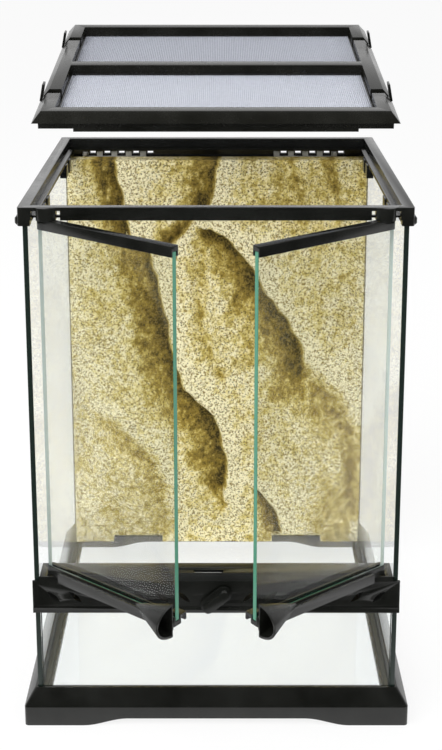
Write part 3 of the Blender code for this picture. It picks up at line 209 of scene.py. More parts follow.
def apply_modifier(obj, kind, **values):
    only(obj)
    modifier = obj.modifiers.new(kind.lower(), kind)
    for name, value in values.items():
        setattr(modifier, name, value)
    bpy.ops.object.modifier_apply(modifier=modifier.name)


def shade_smooth(piece, angle=SMOOTH):
    only(piece)
    bpy.ops.object.shade_smooth_by_angle(angle=angle)


def copy_of(node_name, name, whole_faces=True):
    """A copy of a CAD piece, its loose triangles merged, and made whole faces unless one face
    has many cuts in it."""
    only(NODES[node_name])
    bpy.ops.object.duplicate()
    bpy.ops.object.parent_clear(type="CLEAR_KEEP_TRANSFORM")
    piece = named(name)
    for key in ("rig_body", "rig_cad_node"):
        del piece[key]
    bpy.ops.object.mode_set(mode="EDIT")
    bpy.ops.mesh.select_all(action="SELECT")
    bpy.ops.mesh.remove_doubles(threshold=MERGE_DISTANCE)
    if whole_faces:
        bpy.ops.mesh.dissolve_limited(angle_limit=FLAT)
    bpy.ops.object.mode_set(mode="OBJECT")
    return piece


def round_edges(piece, width):
    apply_modifier(piece, "BEVEL", width=width, segments=2, limit_method="ANGLE",
                   angle_limit=SHARP, miter_outer="MITER_ARC", use_clamp_overlap=True)
    shade_smooth(piece)


def round_long_edges(piece, width, least):
    """Rounds only the sharp edges longer than least, on a piece whose small cuts crowd a face."""
    only(piece)
    bpy.ops.object.mode_set(mode="EDIT")
    bpy.ops.mesh.select_mode(type="EDGE")
    bpy.ops.mesh.select_all(action="DESELECT")
    mesh = bmesh.from_edit_mesh(piece.data)
    for edge in mesh.edges:
        sharp = edge.is_manifold and edge.calc_face_angle() > SHARP
        edge.select_set(sharp and edge.calc_length() > least)
    bmesh.update_edit_mesh(piece.data)
    bpy.ops.mesh.bevel(offset=width, segments=2, affect="EDGES", clamp_overlap=False)
    bpy.ops.mesh.select_mode(type="VERT")
    bpy.ops.object.mode_set(mode="OBJECT")
    shade_smooth(piece)


def finish(piece, body, finish_name, node_name):
    """Gives a piece its finish and its body, and hides the CAD piece it stands for."""
    piece.data.materials.clear()
    piece.data.materials.append(material_for(finish_name))
    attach(piece, body)
    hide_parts(node_name)


def moulded(node_name, body, finish_name, width):
    """A moulded piece: the CAD shape with rounded edges."""
    piece = copy_of(node_name, node_name + "_moulded")
    round_edges(piece, width)
    finish(piece, body, finish_name, node_name)


def lid_turn(angle):
    """The turn about the axis on which the lid is lifted."""
    return (Matrix.Translation(LID_AXIS) @ Matrix.Rotation(angle, 4, "X")
            @ Matrix.Translation(-LID_AXIS))


# Materials

ABS_IOR, GLASS_IOR, SILICONE_IOR, FOAM_IOR = 1.53, 1.52, 1.43, 1.45
BLACK, WHITE = (0.0, 0.0, 0.0, 1.0), (1.0, 1.0, 1.0, 1.0)
MOST_NOISE = {"From Min": 0.3, "From Max": 0.7}     # nearly all noise lies between these
FACE_ALIGNED = 0.9      # a pane's faces look along its own normal at least this nearly
HINGE_SIDE = 0.11       # past this distance from the middle, a door's edge is the one it hangs by
FADE_NEAR, FADE_FAR = -0.32, -0.16  # the floor's gloss fades between these, front to back
PAPER_GLOW = 0.84       # share of the paper that is white to the camera whatever lights it


def fill(tree, node, inputs):
    """Sets a node's sockets, or links what feeds them."""
    for name, value in inputs.items():
        if isinstance(value, bpy.types.NodeSocket):
            tree.links.new(value, node.inputs[name])
        else:
            node.inputs[name].default_value = value


def add_node(tree, kind, inputs=None, stops=(), **values):
    """Adds a node. Values set its fields, inputs its sockets, and stops are the places and
    colours of a colour ramp."""
    new = tree.nodes.new(kind)
    for name, value in values.items():
        setattr(new, name, value)
    fill(tree, new, inputs or {})
    if stops:
        elements = new.color_ramp.elements
        while len(elements) < len(stops):
            elements.new(0.5)
        for element, (position, colour) in zip(elements, stops):
            element.position = position
            element.color = colour
    return new


def new_material(name, **shader_values):
    """A material with one Principled shader and the piece's own coordinates."""
    material = bpy.data.materials.new(name)
    material.use_nodes = True
    tree = material.node_tree
    shader = tree.nodes["Principled BSDF"]
    for socket, value in shader_values.items():
        shader.inputs[socket.replace("_", " ")].default_value = value
    place = add_node(tree, "ShaderNodeTexCoord")
    return material, tree, shader, place


def grain(tree, place, size_m, low=None, high=None, detail=3.0, rough=0.55):
    """A value that wanders over the surface, in features about this many metres across. Where
    low and high are given, nearly all of it is spread out between them."""
    value = add_node(tree, "ShaderNodeTexNoise",
                     {"Vector": place.outputs["Object"], "Scale": 1.0 / size_m,
                      "Detail": detail, "Roughness": rough}).outputs["Fac"]
    if low is None:
        return value
    return add_node(tree, "ShaderNodeMapRange",
                    {**MOST_NOISE, "Value": value, "To Min": low, "To Max": high}).outputs[0]


def two_tone(tree, place, size_m, first, second):
    """A colour that wanders between two, in patches about this many metres across."""
    return add_node(tree, "ShaderNodeMix",
                    {0: grain(tree, place, size_m), 6: first, 7: second},
                    data_type="RGBA").outputs[2]


def uneven(tree, place, size_m, distance, strength):
    """A surface that is uneven at this size."""
    return add_node(tree, "ShaderNodeBump",
                    {"Height": grain(tree, place, size_m), "Distance": distance,
                     "Strength": strength}).outputs[0]


def moulded_plastic(name, colour, roughness, grain_m=0.0007):
    """Injection-moulded ABS: dark and satin, a fine spark-eroded grain, faint flow marks that
    make the gloss wander a little over each face."""
    material, tree, shader, place = new_material(name, IOR=ABS_IOR, Specular_IOR_Level=0.45)
    light = tuple(min(1.0, c * 1.5 + 0.004) for c in colour) + (1.0,)
    flow = grain(tree, place, 0.03, detail=2.0)
    marks = add_node(tree, "ShaderNodeMapRange",
                     {**MOST_NOISE, "Value": flow, "To Min": 0.0, "To Max": 1.0}).outputs[0]
    both = add_node(tree, "ShaderNodeMath", {0: grain(tree, place, 0.004), 1: flow},
                    operation="ADD").outputs[0]
    half = add_node(tree, "ShaderNodeMath", {0: both, 1: 0.5}, operation="MULTIPLY").outputs[0]
    fill(tree, shader, {
        "Base Color": add_node(tree, "ShaderNodeMix",
                               {0: marks, 6: (*colour, 1.0), 7: light},
                               data_type="RGBA").outputs[2],
        "Roughness": add_node(tree, "ShaderNodeMapRange",
                              {**MOST_NOISE, "Value": half, "To Min": roughness - 0.05,
                               "To Max": roughness + 0.05}).outputs[0],
        "Normal": uneven(tree, place, grain_m, 0.00003, 0.12)})
    return material


def float_glass(name, face_normal, edge_colour):
    """Float glass: clear and flat faces, so thin that light hardly bends in it, and sawn and
    ground edges that look deep green because light reaches them through the whole pane. The
    edges are told from the faces by the way they point."""
    look = settings("glass")
    tint = (*look.tint, 1.0)
    material, tree, shader, place = new_material(name, IOR=GLASS_IOR, Roughness=0.0)
    facing = add_node(tree, "ShaderNodeVectorMath",
                      {0: place.outputs["Normal"], 1: face_normal}, operation="DOT_PRODUCT")
    flat = add_node(tree, "ShaderNodeMath", {0: facing.outputs["Value"]}, operation="ABSOLUTE")
    is_face = add_node(tree, "ShaderNodeMath", {0: flat.outputs[0], 1: FACE_ALIGNED},
                       operation="GREATER_THAN").outputs[0]
    dark = tuple(c * 0.55 for c in edge_colour) + (1.0,)
    edge = add_node(tree, "ShaderNodeMix",
                    {0: grain(tree, place, 0.0015, 0.75, 1.15), 6: dark,
                     7: (*edge_colour, 1.0)}, data_type="RGBA").outputs[2]
    if name.endswith("door_glass"):
        parts = add_node(tree, "ShaderNodeSeparateXYZ", {0: place.outputs["Object"]})
        out = add_node(tree, "ShaderNodeMath", {0: parts.outputs["X"]}, operation="ABSOLUTE")
        at_hinge = add_node(tree, "ShaderNodeMath", {0: out.outputs[0], 1: HINGE_SIDE},
                            operation="GREATER_THAN")
        edge = add_node(tree, "ShaderNodeMix",
                        {0: at_hinge.outputs[0], 6: edge, 7: (*look.pinned_edge, 1.0)},
                        data_type="RGBA").outputs[2]
    fill(tree, shader, {
        "Base Color": add_node(tree, "ShaderNodeMix", {0: is_face, 6: edge, 7: tint},
                               data_type="RGBA").outputs[2],
        "Transmission Weight": is_face,
        "Roughness": add_node(tree, "ShaderNodeMapRange",
                              {"Value": is_face, "To Min": 0.25, "To Max": 0.0}).outputs[0]})
    clear = add_node(tree, "ShaderNodeBsdfTransparent", {"Color": tint})
    mirror = add_node(tree, "ShaderNodeBsdfGlossy", {"Color": WHITE, "Roughness": 0.0})
    rays = add_node(tree, "ShaderNodeLightPath")
    outside = add_node(tree, "ShaderNodeNewGeometry").outputs["Backfacing"]
    near_face = add_node(tree, "ShaderNodeMath", {0: 1.0, 1: outside}, operation="SUBTRACT")
    strength = add_node(tree, "ShaderNodeMath", {0: near_face.outputs[0], 1: look.gloss},
                        operation="MULTIPLY")
    gloss = add_node(tree, "ShaderNodeMath",
                     {0: add_node(tree, "ShaderNodeFresnel", {"IOR": GLASS_IOR}).outputs[0],
                      1: strength.outputs[0]}, operation="MULTIPLY")
    sheet = add_node(tree, "ShaderNodeMixShader",
                     {"Fac": gloss.outputs[0], 1: clear.outputs[0], 2: mirror.outputs[0]})
    clean = add_node(tree, "ShaderNodeMath",
                     {0: rays.outputs["Is Shadow Ray"], 1: look.clean}, operation="MAXIMUM")
    passing = add_node(tree, "ShaderNodeMath",
                       {0: clean.outputs[0], 1: is_face}, operation="MULTIPLY")
    share = add_node(tree, "ShaderNodeMixShader",
                     {"Fac": passing.outputs[0], 1: shader.outputs[0], 2: sheet.outputs[0]})
    fill(tree, tree.nodes["Material Output"], {"Surface": share.outputs[0]})
    return material


def silicone_sealant(name):
    """Black silicone: rubbery, smoothed by a wet finger, with soft ripples along the bead."""
    material, tree, shader, place = new_material(name, IOR=SILICONE_IOR, Roughness=0.38)
    fill(tree, shader, {
        "Base Color": two_tone(tree, place, 0.01, linear("#0E1210"), linear("#1B211D")),
        "Normal": uneven(tree, place, 0.006, 0.0002, 0.6)})
    return material


def turned_steel(name):
    """Turned stainless steel: bright, with fine marks of the tool that spread the gloss."""
    material, tree, shader, place = new_material(name, Metallic=1.0)
    fill(tree, shader, {
        "Base Color": two_tone(tree, place, 0.002, linear("#9A9A98"), linear("#C4C4C0")),
        "Roughness": grain(tree, place, 0.0006, 0.22, 0.36),
        "Normal": uneven(tree, place, 0.0004, 0.00001, 0.4)})
    return material


def screen_wire(name, colour):
    """Drawn steel wire under a thin coat, pale in the lid and near black in the vent bar, where
    its dark colour is painted shade seen through the slots: satin, with the light caught unevenly."""
    material, tree, shader, place = new_material(name, Metallic=0.2)
    light = tuple(min(1.0, c * 1.35) for c in colour) + (1.0,)
    fill(tree, shader, {
        "Base Color": two_tone(tree, place, 0.003, (*colour, 1.0), light),
        "Roughness": grain(tree, place, 0.0008, 0.36, 0.5)})
    return material


def painted_rock(name):
    """Rigid polyurethane foam, sprayed cream over ochre: matt and granular, dark grit stuck in
    the paint, ochre left on the slopes and dark brown in the clefts. Painted shade is added past
    the slopes and on the slabs' shaded sides, and a painted highlight on each slab's crest. How
    darkly a point is stained and shaded is kept in the piece's own attribute. Grit of half a
    millimetre is drawn at one and a half, so that it shows."""
    look = settings("rock")
    material, tree, shader, place = new_material(name, IOR=FOAM_IOR)
    mottle = grain(tree, place, 0.0052, detail=4.0, rough=0.7)
    crumbs = grain(tree, place, 0.0021, rough=0.75)
    # the clefts' stain together with painted shade and painted highlight, from the wall's attribute
    stain_and_shade = add_node(tree, "ShaderNodeAttribute", attribute_name="stain_and_shade").outputs["Fac"]
    patches = grain(tree, place, 0.021, -0.18, 0.28, detail=5.0, rough=0.65)
    wash = add_node(tree, "ShaderNodeMath", {0: patches, 1: stain_and_shade}, operation="ADD").outputs[0]
    flecks = add_node(tree, "ShaderNodeMapRange",
                      {**MOST_NOISE, "Value": mottle, "To Min": -0.28, "To Max": 0.32})
    wash = add_node(tree, "ShaderNodeMath", {0: flecks.outputs[0], 1: wash},
                    operation="ADD").outputs[0]
    base = add_node(tree, "ShaderNodeValToRGB", {"Fac": wash},
                    [(0.0, (*look.cream, 1.0)), (0.2, linear("#EADCA0")),
                     (0.42, linear("#CDB968")), (0.62, (*look.ochre, 1.0)),
                     (0.82, linear("#6A581F")), (1.0, (*look.shade, 1.0))])
    speckle = add_node(tree, "ShaderNodeValToRGB", {"Fac": crumbs},
                       [(0.39, BLACK), (0.52, WHITE)])
    gritty = add_node(tree, "ShaderNodeMix",
                      {0: speckle.outputs["Color"], 6: linear("#8A7536"),
                       7: base.outputs["Color"]}, data_type="RGBA")
    grit = add_node(tree, "ShaderNodeTexVoronoi",
                    {"Vector": place.outputs["Object"], "Scale": 330.0})
    dots = add_node(tree, "ShaderNodeValToRGB", {"Fac": grit.outputs["Distance"]},
                    [(0.08, BLACK), (0.32, WHITE)])
    fill(tree, shader, {
        "Base Color": add_node(tree, "ShaderNodeMix",
                               {0: dots.outputs["Color"], 6: linear("#453E20"),
                                7: gritty.outputs[2]}, data_type="RGBA").outputs[2],
        "Roughness": add_node(tree, "ShaderNodeMapRange",
                              {**MOST_NOISE, "Value": mottle, "To Min": 0.78,
                               "To Max": 0.95}).outputs[0],
        "Normal": add_node(tree, "ShaderNodeBump",
                           {"Height": crumbs, "Distance": 0.0016,
                            "Strength": 0.9}).outputs[0]})
    return material


def bare_foam(name):
    """The same foam where it is cut and unpainted: pale grey, with open cells."""
    material, tree, shader, place = new_material(name, IOR=FOAM_IOR, Roughness=0.9)
    cells = grain(tree, place, 0.0016)
    light = add_node(tree, "ShaderNodeMapRange",
                     {**MOST_NOISE, "Value": cells, "To Min": 0.0, "To Max": 1.0})
    fill(tree, shader, {
        "Base Color": add_node(tree, "ShaderNodeMix",
                               {0: light.outputs[0], 6: linear("#A9A9B4"),
                                7: linear("#C9C9D2")}, data_type="RGBA").outputs[2],
        "Normal": add_node(tree, "ShaderNodeBump",
                           {"Height": cells, "Distance": 0.0004, "Strength": 0.7}).outputs[0]})
    return material


def studio_paper(name):
    """Seamless white paper: even white to the camera, with the object's shadow kept. In gloss
    it fades towards the unlit front of the studio."""
    material, tree, shader, place = new_material(name, Roughness=0.9, Specular_IOR_Level=0.1)
    fill(tree, shader, {
        "Base Color": two_tone(tree, place, 0.002, linear("#F4F4F4"), linear("#F8F8F8"))})
    parts = add_node(tree, "ShaderNodeSeparateXYZ", {0: place.outputs["Object"]})
    fade = add_node(tree, "ShaderNodeMapRange",
                    {"Value": parts.outputs["Y"], "From Min": FADE_NEAR, "From Max": FADE_FAR,
                     "To Min": 0.05, "To Max": 1.0})
    rays = add_node(tree, "ShaderNodeLightPath")
    colour = add_node(tree, "ShaderNodeMix",
                      {0: rays.outputs["Is Glossy Ray"], 6: WHITE, 7: fade.outputs[0]},
                      data_type="RGBA")
    glow = add_node(tree, "ShaderNodeEmission", {"Color": colour.outputs[2], "Strength": 1.0})
    seen = add_node(tree, "ShaderNodeMath",
                    {0: rays.outputs["Is Camera Ray"], 1: rays.outputs["Is Transmission Ray"]},
                    operation="MAXIMUM")
    part = add_node(tree, "ShaderNodeMath", {0: seen.outputs[0], 1: PAPER_GLOW},
                    operation="MULTIPLY")
    share = add_node(tree, "ShaderNodeMath",
                     {0: part.outputs[0], 1: rays.outputs["Is Glossy Ray"]}, operation="MAXIMUM")
    both = add_node(tree, "ShaderNodeMixShader",
                    {"Fac": share.outputs[0], 1: shader.outputs[0], 2: glow.outputs[0]})
    fill(tree, tree.nodes["Material Output"], {"Surface": both.outputs[0]})
    return material


# The finishes made so far, by name
MATERIALS = {}


def material_for(name):
    """The finishes, each made once."""
    if name not in MATERIALS:
        moulding, glass, screens = settings("moulding"), settings("glass"), settings("screens")
        across, ahead = math.sin(DOOR_AT_REST), math.cos(DOOR_AT_REST)
        makers = {
            "black_abs": (moulded_plastic, moulding.black, 0.22),
            "unpolished_abs": (moulded_plastic, moulding.black, 0.8),
            "lid_abs": (moulded_plastic, moulding.lid, 0.26, 0.0009),
            "shutter_abs": (moulded_plastic, moulding.shutter, 0.4),
            "side_glass": (float_glass, (1.0, 0.0, 0.0), glass.bonded_edge),
            "front_glass": (float_glass, (0.0, 1.0, 0.0), glass.bonded_edge),
            "floor_glass": (float_glass, (0.0, 0.0, 1.0), glass.bonded_edge),
            "left_door_glass": (float_glass, (-across, -ahead, 0.0), glass.free_edge),
            "right_door_glass": (float_glass, (across, -ahead, 0.0), glass.free_edge),
            "silicone_sealant": (silicone_sealant,),
            "turned_steel": (turned_steel,),
            "coated_wire": (screen_wire, screens.steel),
            "slot_shade_wire": (screen_wire, screens.dark),
            "painted_foam_rock": (painted_rock,),
            "bare_foam": (bare_foam,),
            "studio_paper": (studio_paper,),
        }
        maker, *details = makers[name]
        MATERIALS[name] = maker(name, *details)
    return MATERIALS[name]


# Rock wall: a foam panel of overlapping slabs

# Each cleft is the edge where one slab overlaps the next. Its points are millimetres across and
# up, and the width of the slope on its left there. Then come its depth and its stain, with the
# painted shade around it, as shares of the most, and the width of the rise on its right.
CLEFTS = [
    ([(-102, 424, 20), (-95, 391, 22), (-92, 370, 22), (-88, 345, 26), (-68, 328, 38),
      (-63, 307, 44), (-55, 275, 42), (-49, 239, 42), (-41, 207, 38), (-35, 187, 34),
      (-22, 174, 32), (-5, 161, 40), (3, 136, 40), (7, 104, 34), (5, 84, 22)], 1.0, 1.0, 4.0),
    ([(-1, 424, 26), (-5, 399, 27), (-11, 377, 26), (-34, 354, 15), (-44, 343, 14),
      (-52, 335, 8)], 0.9, 1.0, 4.0),
    ([(-8, 352, 12), (5, 346, 22), (20, 331, 32), (34, 311, 34), (46, 289, 42), (63, 265, 44),
      (75, 244, 44), (83, 225, 42), (86, 204, 36)], 1.0, 1.0, 4.5),
    ([(86, 204, 30), (105, 181, 34), (122, 157, 26), (132, 141, 20), (136, 117, 14),
      (136, 60, 16)], 0.75, 0.62, 17.0),
    ([(-12, 342, 14), (-16, 307, 15), (-18, 275, 10), (-13, 249, 12), (-4, 223, 12),
      (3, 204, 5)], 0.3, 0.42, 9.0),
    ([(-61, 232, 8), (-57, 214, 10), (-56, 192, 7)], 0.3, 0.8, 4.0),
    ([(-112, 154, 12), (-88, 131, 22), (-67, 112, 30), (-57, 86, 34), (-54, 34, 30)],
     0.45, 0.45, 12.0),
    ([(40, 78, 6), (50, 66, 14), (57, 52, 16), (64, 34, 18)], 0.8, 1.0, 3.0),
    ([(-12, 88, 8), (-3, 77, 10), (6, 62, 6)], 0.35, 0.6, 5.0),
    ([(72, 424, 14), (78, 400, 14), (86, 368, 10)], 0.25, 0.5, 8.0),
    ([(110, 424, 22), (114, 398, 20), (122, 366, 14)], 0.3, 0.6, 9.0),
    ([(-112, 424, 12), (-109, 396, 10), (-104, 366, 8)], 0.25, 0.85, 3.0),
]

# Darker places: the paint's ochre patches, and painted shade where the slabs and the lower right
# boulder turn from the light; middle across and up, half width, half height and how dark.
SHADE_AND_PATCHES = [(85, 396, 90, 55, 0.34), (-30, 408, 40, 26, 0.24), (116, 62, 26, 52, 0.44),
            (-86, 66, 38, 60, 0.26), (112, 300, 55, 80, 0.16), (-8, 300, 34, 60, 0.22),
            (60, 150, 50, 60, 0.12)]


CREST_HIGHLIGHT_AWAY, CREST_HIGHLIGHT_REACH = 5.0, 14.0     # a crest's painted highlight is palest this many millimetres past the rise
PAINTED_SHADE_REACH, PAINTED_SHADE_SHARE = 2.2, 0.26    # how far past its slope the painted shade goes, and how dark
SWELL = 7.0                             # millimetres of the panel's broad swell


def noise_at(x, z, across, up, layer):
    """Noise from -1 to 1 with features about across by up millimetres, other in each layer."""
    return noise.noise((x / across, z / up, layer))


def cleft_at(x, z):
    """How deep a point of the wall lies, and how dark it is stained and painted with shade, both
    from 0 to 1. Past each slope the painted shade fades out, and just right of a cleft the next
    slab's crest gets a painted highlight, paler than the rest."""
    point = Vector((x + 3.2 * noise_at(x, z, 13, 19, 1.0), z + 2.4 * noise_at(x, z, 17, 17, 7.0)))
    stretch = 1.0 + 0.4 * noise_at(x, z, 26, 34, 5.0)
    deepest = darkest = crest_highlight = 0.0
    for points, share, stain_and_shade, rise in CLEFTS:
        nearest = None
        for (ax, az, a_slope), (bx, bz, b_slope) in zip(points, points[1:]):
            start, along = Vector((ax, az)), Vector((bx - ax, bz - az))
            t = min(1.0, max(0.0, (point - start).dot(along) / along.length_squared))
            off = point - start - along * t
            if nearest is None or off.length < nearest[0]:
                on_right = along.x * off.y - along.y * off.x > 0
                slope = rise if on_right else a_slope + (b_slope - a_slope) * t
                nearest = (off.length, slope, on_right)
        away, slope, on_right = nearest
        reach = slope * stretch
        if on_right:
            # painted highlight on the next slab's crest
            crest_highlight = max(crest_highlight, share * (1.0 - abs(away - rise - CREST_HIGHLIGHT_AWAY) / CREST_HIGHLIGHT_REACH))
        else:
            # painted shade that reaches past the slope
            darkest = max(darkest, PAINTED_SHADE_SHARE * stain_and_shade * (1.0 - away / (PAINTED_SHADE_REACH * reach)))
        if away < reach:
            t = 1.0 - away / reach
            eased = t * t * (3 - 2 * t)
            deepest = max(deepest, share * eased)
            shelf, line = min(1.0, t / 0.5), max(0.0, (t - 0.55) / 0.45)
            darkest = max(darkest, stain_and_shade * (0.2 + 0.36 * shelf + 0.44 * line ** 1.4))
    # ochre patches and painted shade
    for bx, bz, across, up, amount in SHADE_AND_PATCHES:
        near = 1.0 - math.hypot((x - bx) / across, (z - bz) / up)
        if near > 0:
            darkest = max(darkest, amount * near ** 0.5)
    # the crests' painted highlight pales the colour
    return deepest, darkest - 0.3 * crest_highlight * (1.0 - darkest)


def wall_relief(x, z, low, high):
    """Millimetres that the wall stands proud of its middle plane: the panel's broad swell, then
    lumps and the foam's pits."""
    u = (x / 1000 - low.x) / (high.x - low.x)
    v = (z / 1000 - low.z) / (high.z - low.z)
    turn = 2 * math.pi
    swell = (math.sin(turn * (1.3 * u - 0.8 * v + 0.1)) + 0.5 * math.sin(
        turn * (2.9 * u + 1.1 * v + 0.4)) + 0.35 * math.sin(turn * (2.3 * v - 0.7 * u))) / 1.85
    lumps = 1.6 * noise_at(x, z, 22, 30, 9.0) + 0.8 * noise_at(x, z, 9, 12, 3.0)
    pits = 0.5 * noise_at(x, z, 3.4, 3.8, 2.0)
    return SWELL * swell, lumps + pits


class TERRARIUM_OT_rock_wall(bpy.types.Operator):
    """Rock wall: a grid drawn into slabs and clefts, thickened to the panel's back"""
    bl_idname = "terrarium.rock_wall"
    bl_label = "Rock wall"
    RIM = 0.014                             # the slabs flatten out this near the rim
    CUT_BELOW, CUT_AHEAD = 0.02, 0.05       # the cutters reach past the wall's foot and face
    BARE_RISE, BARE_DEPTH = 0.0095, 0.0045  # bare foam lies this near the wall's foot and back

    def execute(self, context):
        look = settings("rock")
        low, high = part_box("rock_background")
        deselect()
        bpy.ops.mesh.primitive_grid_add(x_subdivisions=look.columns, y_subdivisions=look.rows,
                                        size=1.0, location=(low + high) / 2,
                                        rotation=(math.radians(90), 0.0, 0.0))
        wall = named("rock_wall")
        wall.scale = (high.x - low.x, high.z - low.z, 1.0)
        rest_on_origin()
        plane = high.y - look.thickness
        stains_and_shade = []
        for vert in wall.data.vertices:
            x, z = vert.co.x * 1000, vert.co.z * 1000
            edge = min(vert.co.x - low.x, high.x - vert.co.x, vert.co.z - low.z,
                       high.z - vert.co.z)
            ease = min(1.0, edge / self.RIM)
            deep, stain_and_shade = cleft_at(x, z)
            swell, rough = wall_relief(x, z, low, high)
            stains_and_shade.append(stain_and_shade)
            sunk = (look.depth * deep - swell / 1000) * ease
            vert.co.y = max(low.y, plane + sunk - rough / 1000)
        # stain with painted shade and painted highlight, read by the rock's material
        attribute = wall.data.attributes.new("stain_and_shade", "FLOAT", "POINT")
        attribute.data.foreach_set("value", stains_and_shade)
        only(wall)
        bpy.ops.object.mode_set(mode="EDIT")
        bpy.ops.mesh.select_all(action="DESELECT")
        bpy.ops.mesh.select_non_manifold()
        bpy.ops.mesh.extrude_region_move()
        bpy.ops.transform.resize(value=(1.0, 0.0, 1.0), center_override=(0.0, high.y, 0.0))
        bpy.ops.mesh.edge_face_add()
        bpy.ops.mesh.select_all(action="SELECT")
        bpy.ops.mesh.normals_make_consistent(inside=False)
        bpy.ops.object.mode_set(mode="OBJECT")
        self.cut_recesses(wall)
        shade_smooth(wall, SOFT)
        finish(wall, "tank", "painted_foam_rock", "rock_background")
        wall.data.materials.append(material_for("bare_foam"))
        for face in wall.data.polygons:
            in_recess = (face.center.z < low.z + self.BARE_RISE
                         and face.center.y > high.y - self.BARE_DEPTH)
            if face.normal.y < -0.9 and in_recess:
                face.material_index = 1
        return {"FINISHED"}

    def cut_recesses(self, wall):
        """Cuts the two low arches where hoses and cables come in, as in the CAD panel."""
        for side in ("left", "right"):
            hole = next(o for o in frame["record"]["physics"]["openings"]
                        if o["name"] == side + "_rock_recess")["box_m"]
            low, high = Vector(hole[0]), Vector(hole[1])
            low.z -= self.CUT_BELOW
            low.y -= self.CUT_AHEAD
            deselect()
            bpy.ops.mesh.primitive_cube_add(size=1.0, location=(low + high) / 2)
            cutter = named("recess_cutter")
            cutter.scale = high - low
            rest_on_origin()
            apply_modifier(wall, "BOOLEAN", operation="DIFFERENCE", object=cutter)
            bpy.data.objects.remove(cutter, do_unlink=True)


# Mouldings

class TERRARIUM_OT_base(bpy.types.Operator):
    """Base frame: the moulded skirt, its feet and its arches"""
    bl_idname = "terrarium.base"
    bl_label = "Base frame"

    def execute(self, context):
        moulded("base_frame", "tank", "black_abs", settings("moulding").frame_edge * 1.6)
        return {"FINISHED"}


class TERRARIUM_OT_top_frame(bpy.types.Operator):
    """Top frame: the moulded rim with its hinge bosses, ledge and cable windows"""
    bl_idname = "terrarium.top_frame"
    bl_label = "Top frame"

    def execute(self, context):
        moulded("top_frame", "tank", "black_abs", settings("moulding").frame_edge)
        return {"FINISHED"}


class TERRARIUM_OT_cable_shutters(bpy.types.Operator):
    """Cable shutters: the two grey combs that slide over the cable windows"""
    bl_idname = "terrarium.cable_shutters"
    bl_label = "Cable shutters"

    def execute(self, context):
        for side in ("left", "right"):
            moulded(side + "_cable_shutter", side + "_shutter", "shutter_abs",
                    settings("moulding").fine_edge)
        return {"FINISHED"}


class TERRARIUM_OT_vent_bar(bpy.types.Operator):
    """Vent bar: the slotted bar under the doors and the screen behind its slots"""
    bl_idname = "terrarium.vent_bar"
    bl_label = "Vent bar"
    LONG = 0.02             # the bar's own edges are longer than this, its slots' are shorter
    SHELF_PROUD = 0.0008    # the lower edge stands this far in front of the bar's face
    SKIN = 0.0008           # deeper than this the moulding is left unpolished
    FLOOR, ROOF = 0.102, 0.1295     # heights between which its inner faces lie

    def execute(self, context):
        bar = copy_of("vent_bar", "vent_bar_moulded", whole_faces=False)
        round_long_edges(bar, settings("moulding").frame_edge * 0.8, self.LONG)
        finish(bar, "tank", "black_abs", "vent_bar")
        bar.data.materials.append(material_for("unpolished_abs"))
        face_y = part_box("vent_bar")[0].y + self.SHELF_PROUD
        for face in bar.data.polygons:
            if face.center.y > face_y + self.SKIN and face.normal.z > -0.5:
                in_bar = self.FLOOR < face.center.z < self.ROOF
                face.material_index = 1 if in_bar else 0
        low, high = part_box("vent_screen")
        net = wire_net("vent_screen_wires", low.x, high.x, low.z, high.z,
                       (low.y + high.y) / 2, "Y")
        # the screen's near-black wire is painted shade behind the slots
        finish(net, "tank", "slot_shade_wire", "vent_screen")
        return {"FINISHED"}


class TERRARIUM_OT_lock(bpy.types.Operator):
    """Lock: knob, spindle, cam and nut"""
    bl_idname = "terrarium.lock"
    bl_label = "Lock"

    def execute(self, context):
        width = settings("moulding").fine_edge
        moulded("lock_knob", "lock", "black_abs", width * 2)
        moulded("lock_cam", "lock", "black_abs", width)
        moulded("lock_spindle", "lock", "turned_steel", width)
        moulded("lock_nut", "lock", "turned_steel", width)
        return {"FINISHED"}


class TERRARIUM_OT_doors(bpy.types.Operator):
    """Doors: glass, top rails, bottom rails with their pull cups, and hinge pins"""
    bl_idname = "terrarium.doors"
    bl_label = "Doors"

    def execute(self, context):
        moulding = settings("moulding")
        for side in ("left", "right"):
            body = side + "_door"
            for rail in ("_door_top_rail", "_door_bottom_rail"):
                moulded(side + rail, body, "black_abs", moulding.frame_edge)
            pane(side + "_door_glass", body, side + "_door_glass")
            for pin in ("_top_hinge_pin", "_bottom_hinge_pin"):
                moulded(side + pin, "tank", "turned_steel", moulding.fine_edge)
        return {"FINISHED"}


# Glass and sealant

def pane(node_name, body, finish_name):
    """A pane with its arris ground all round."""
    piece = copy_of(node_name, node_name + "_ground")
    apply_modifier(piece, "BEVEL", width=settings("glass").arris, segments=1,
                   limit_method="ANGLE", angle_limit=GROUND)
    only(piece)
    bpy.ops.object.shade_flat()
    finish(piece, body, finish_name, node_name)


class TERRARIUM_OT_panes(bpy.types.Operator):
    """Panes: the fixed glass of the tank and the beads that bond it"""
    bl_idname = "terrarium.panes"
    bl_label = "Fixed panes"
    BEAD_EDGE = 0.0006      # rounding of the beads

    def execute(self, context):
        for node_name, finish_name in (("left_pane", "side_glass"), ("right_pane", "side_glass"),
                                       ("rear_pane", "front_glass"),
                                       ("front_lower_pane", "front_glass"),
                                       ("floor_pane", "floor_glass")):
            pane(node_name, "tank", finish_name)
        for bead in ("floor_seal", "left_corner_seal", "right_corner_seal"):
            moulded(bead, "tank", "silicone_sealant", self.BEAD_EDGE)
        return {"FINISHED"}


# Screens and lid

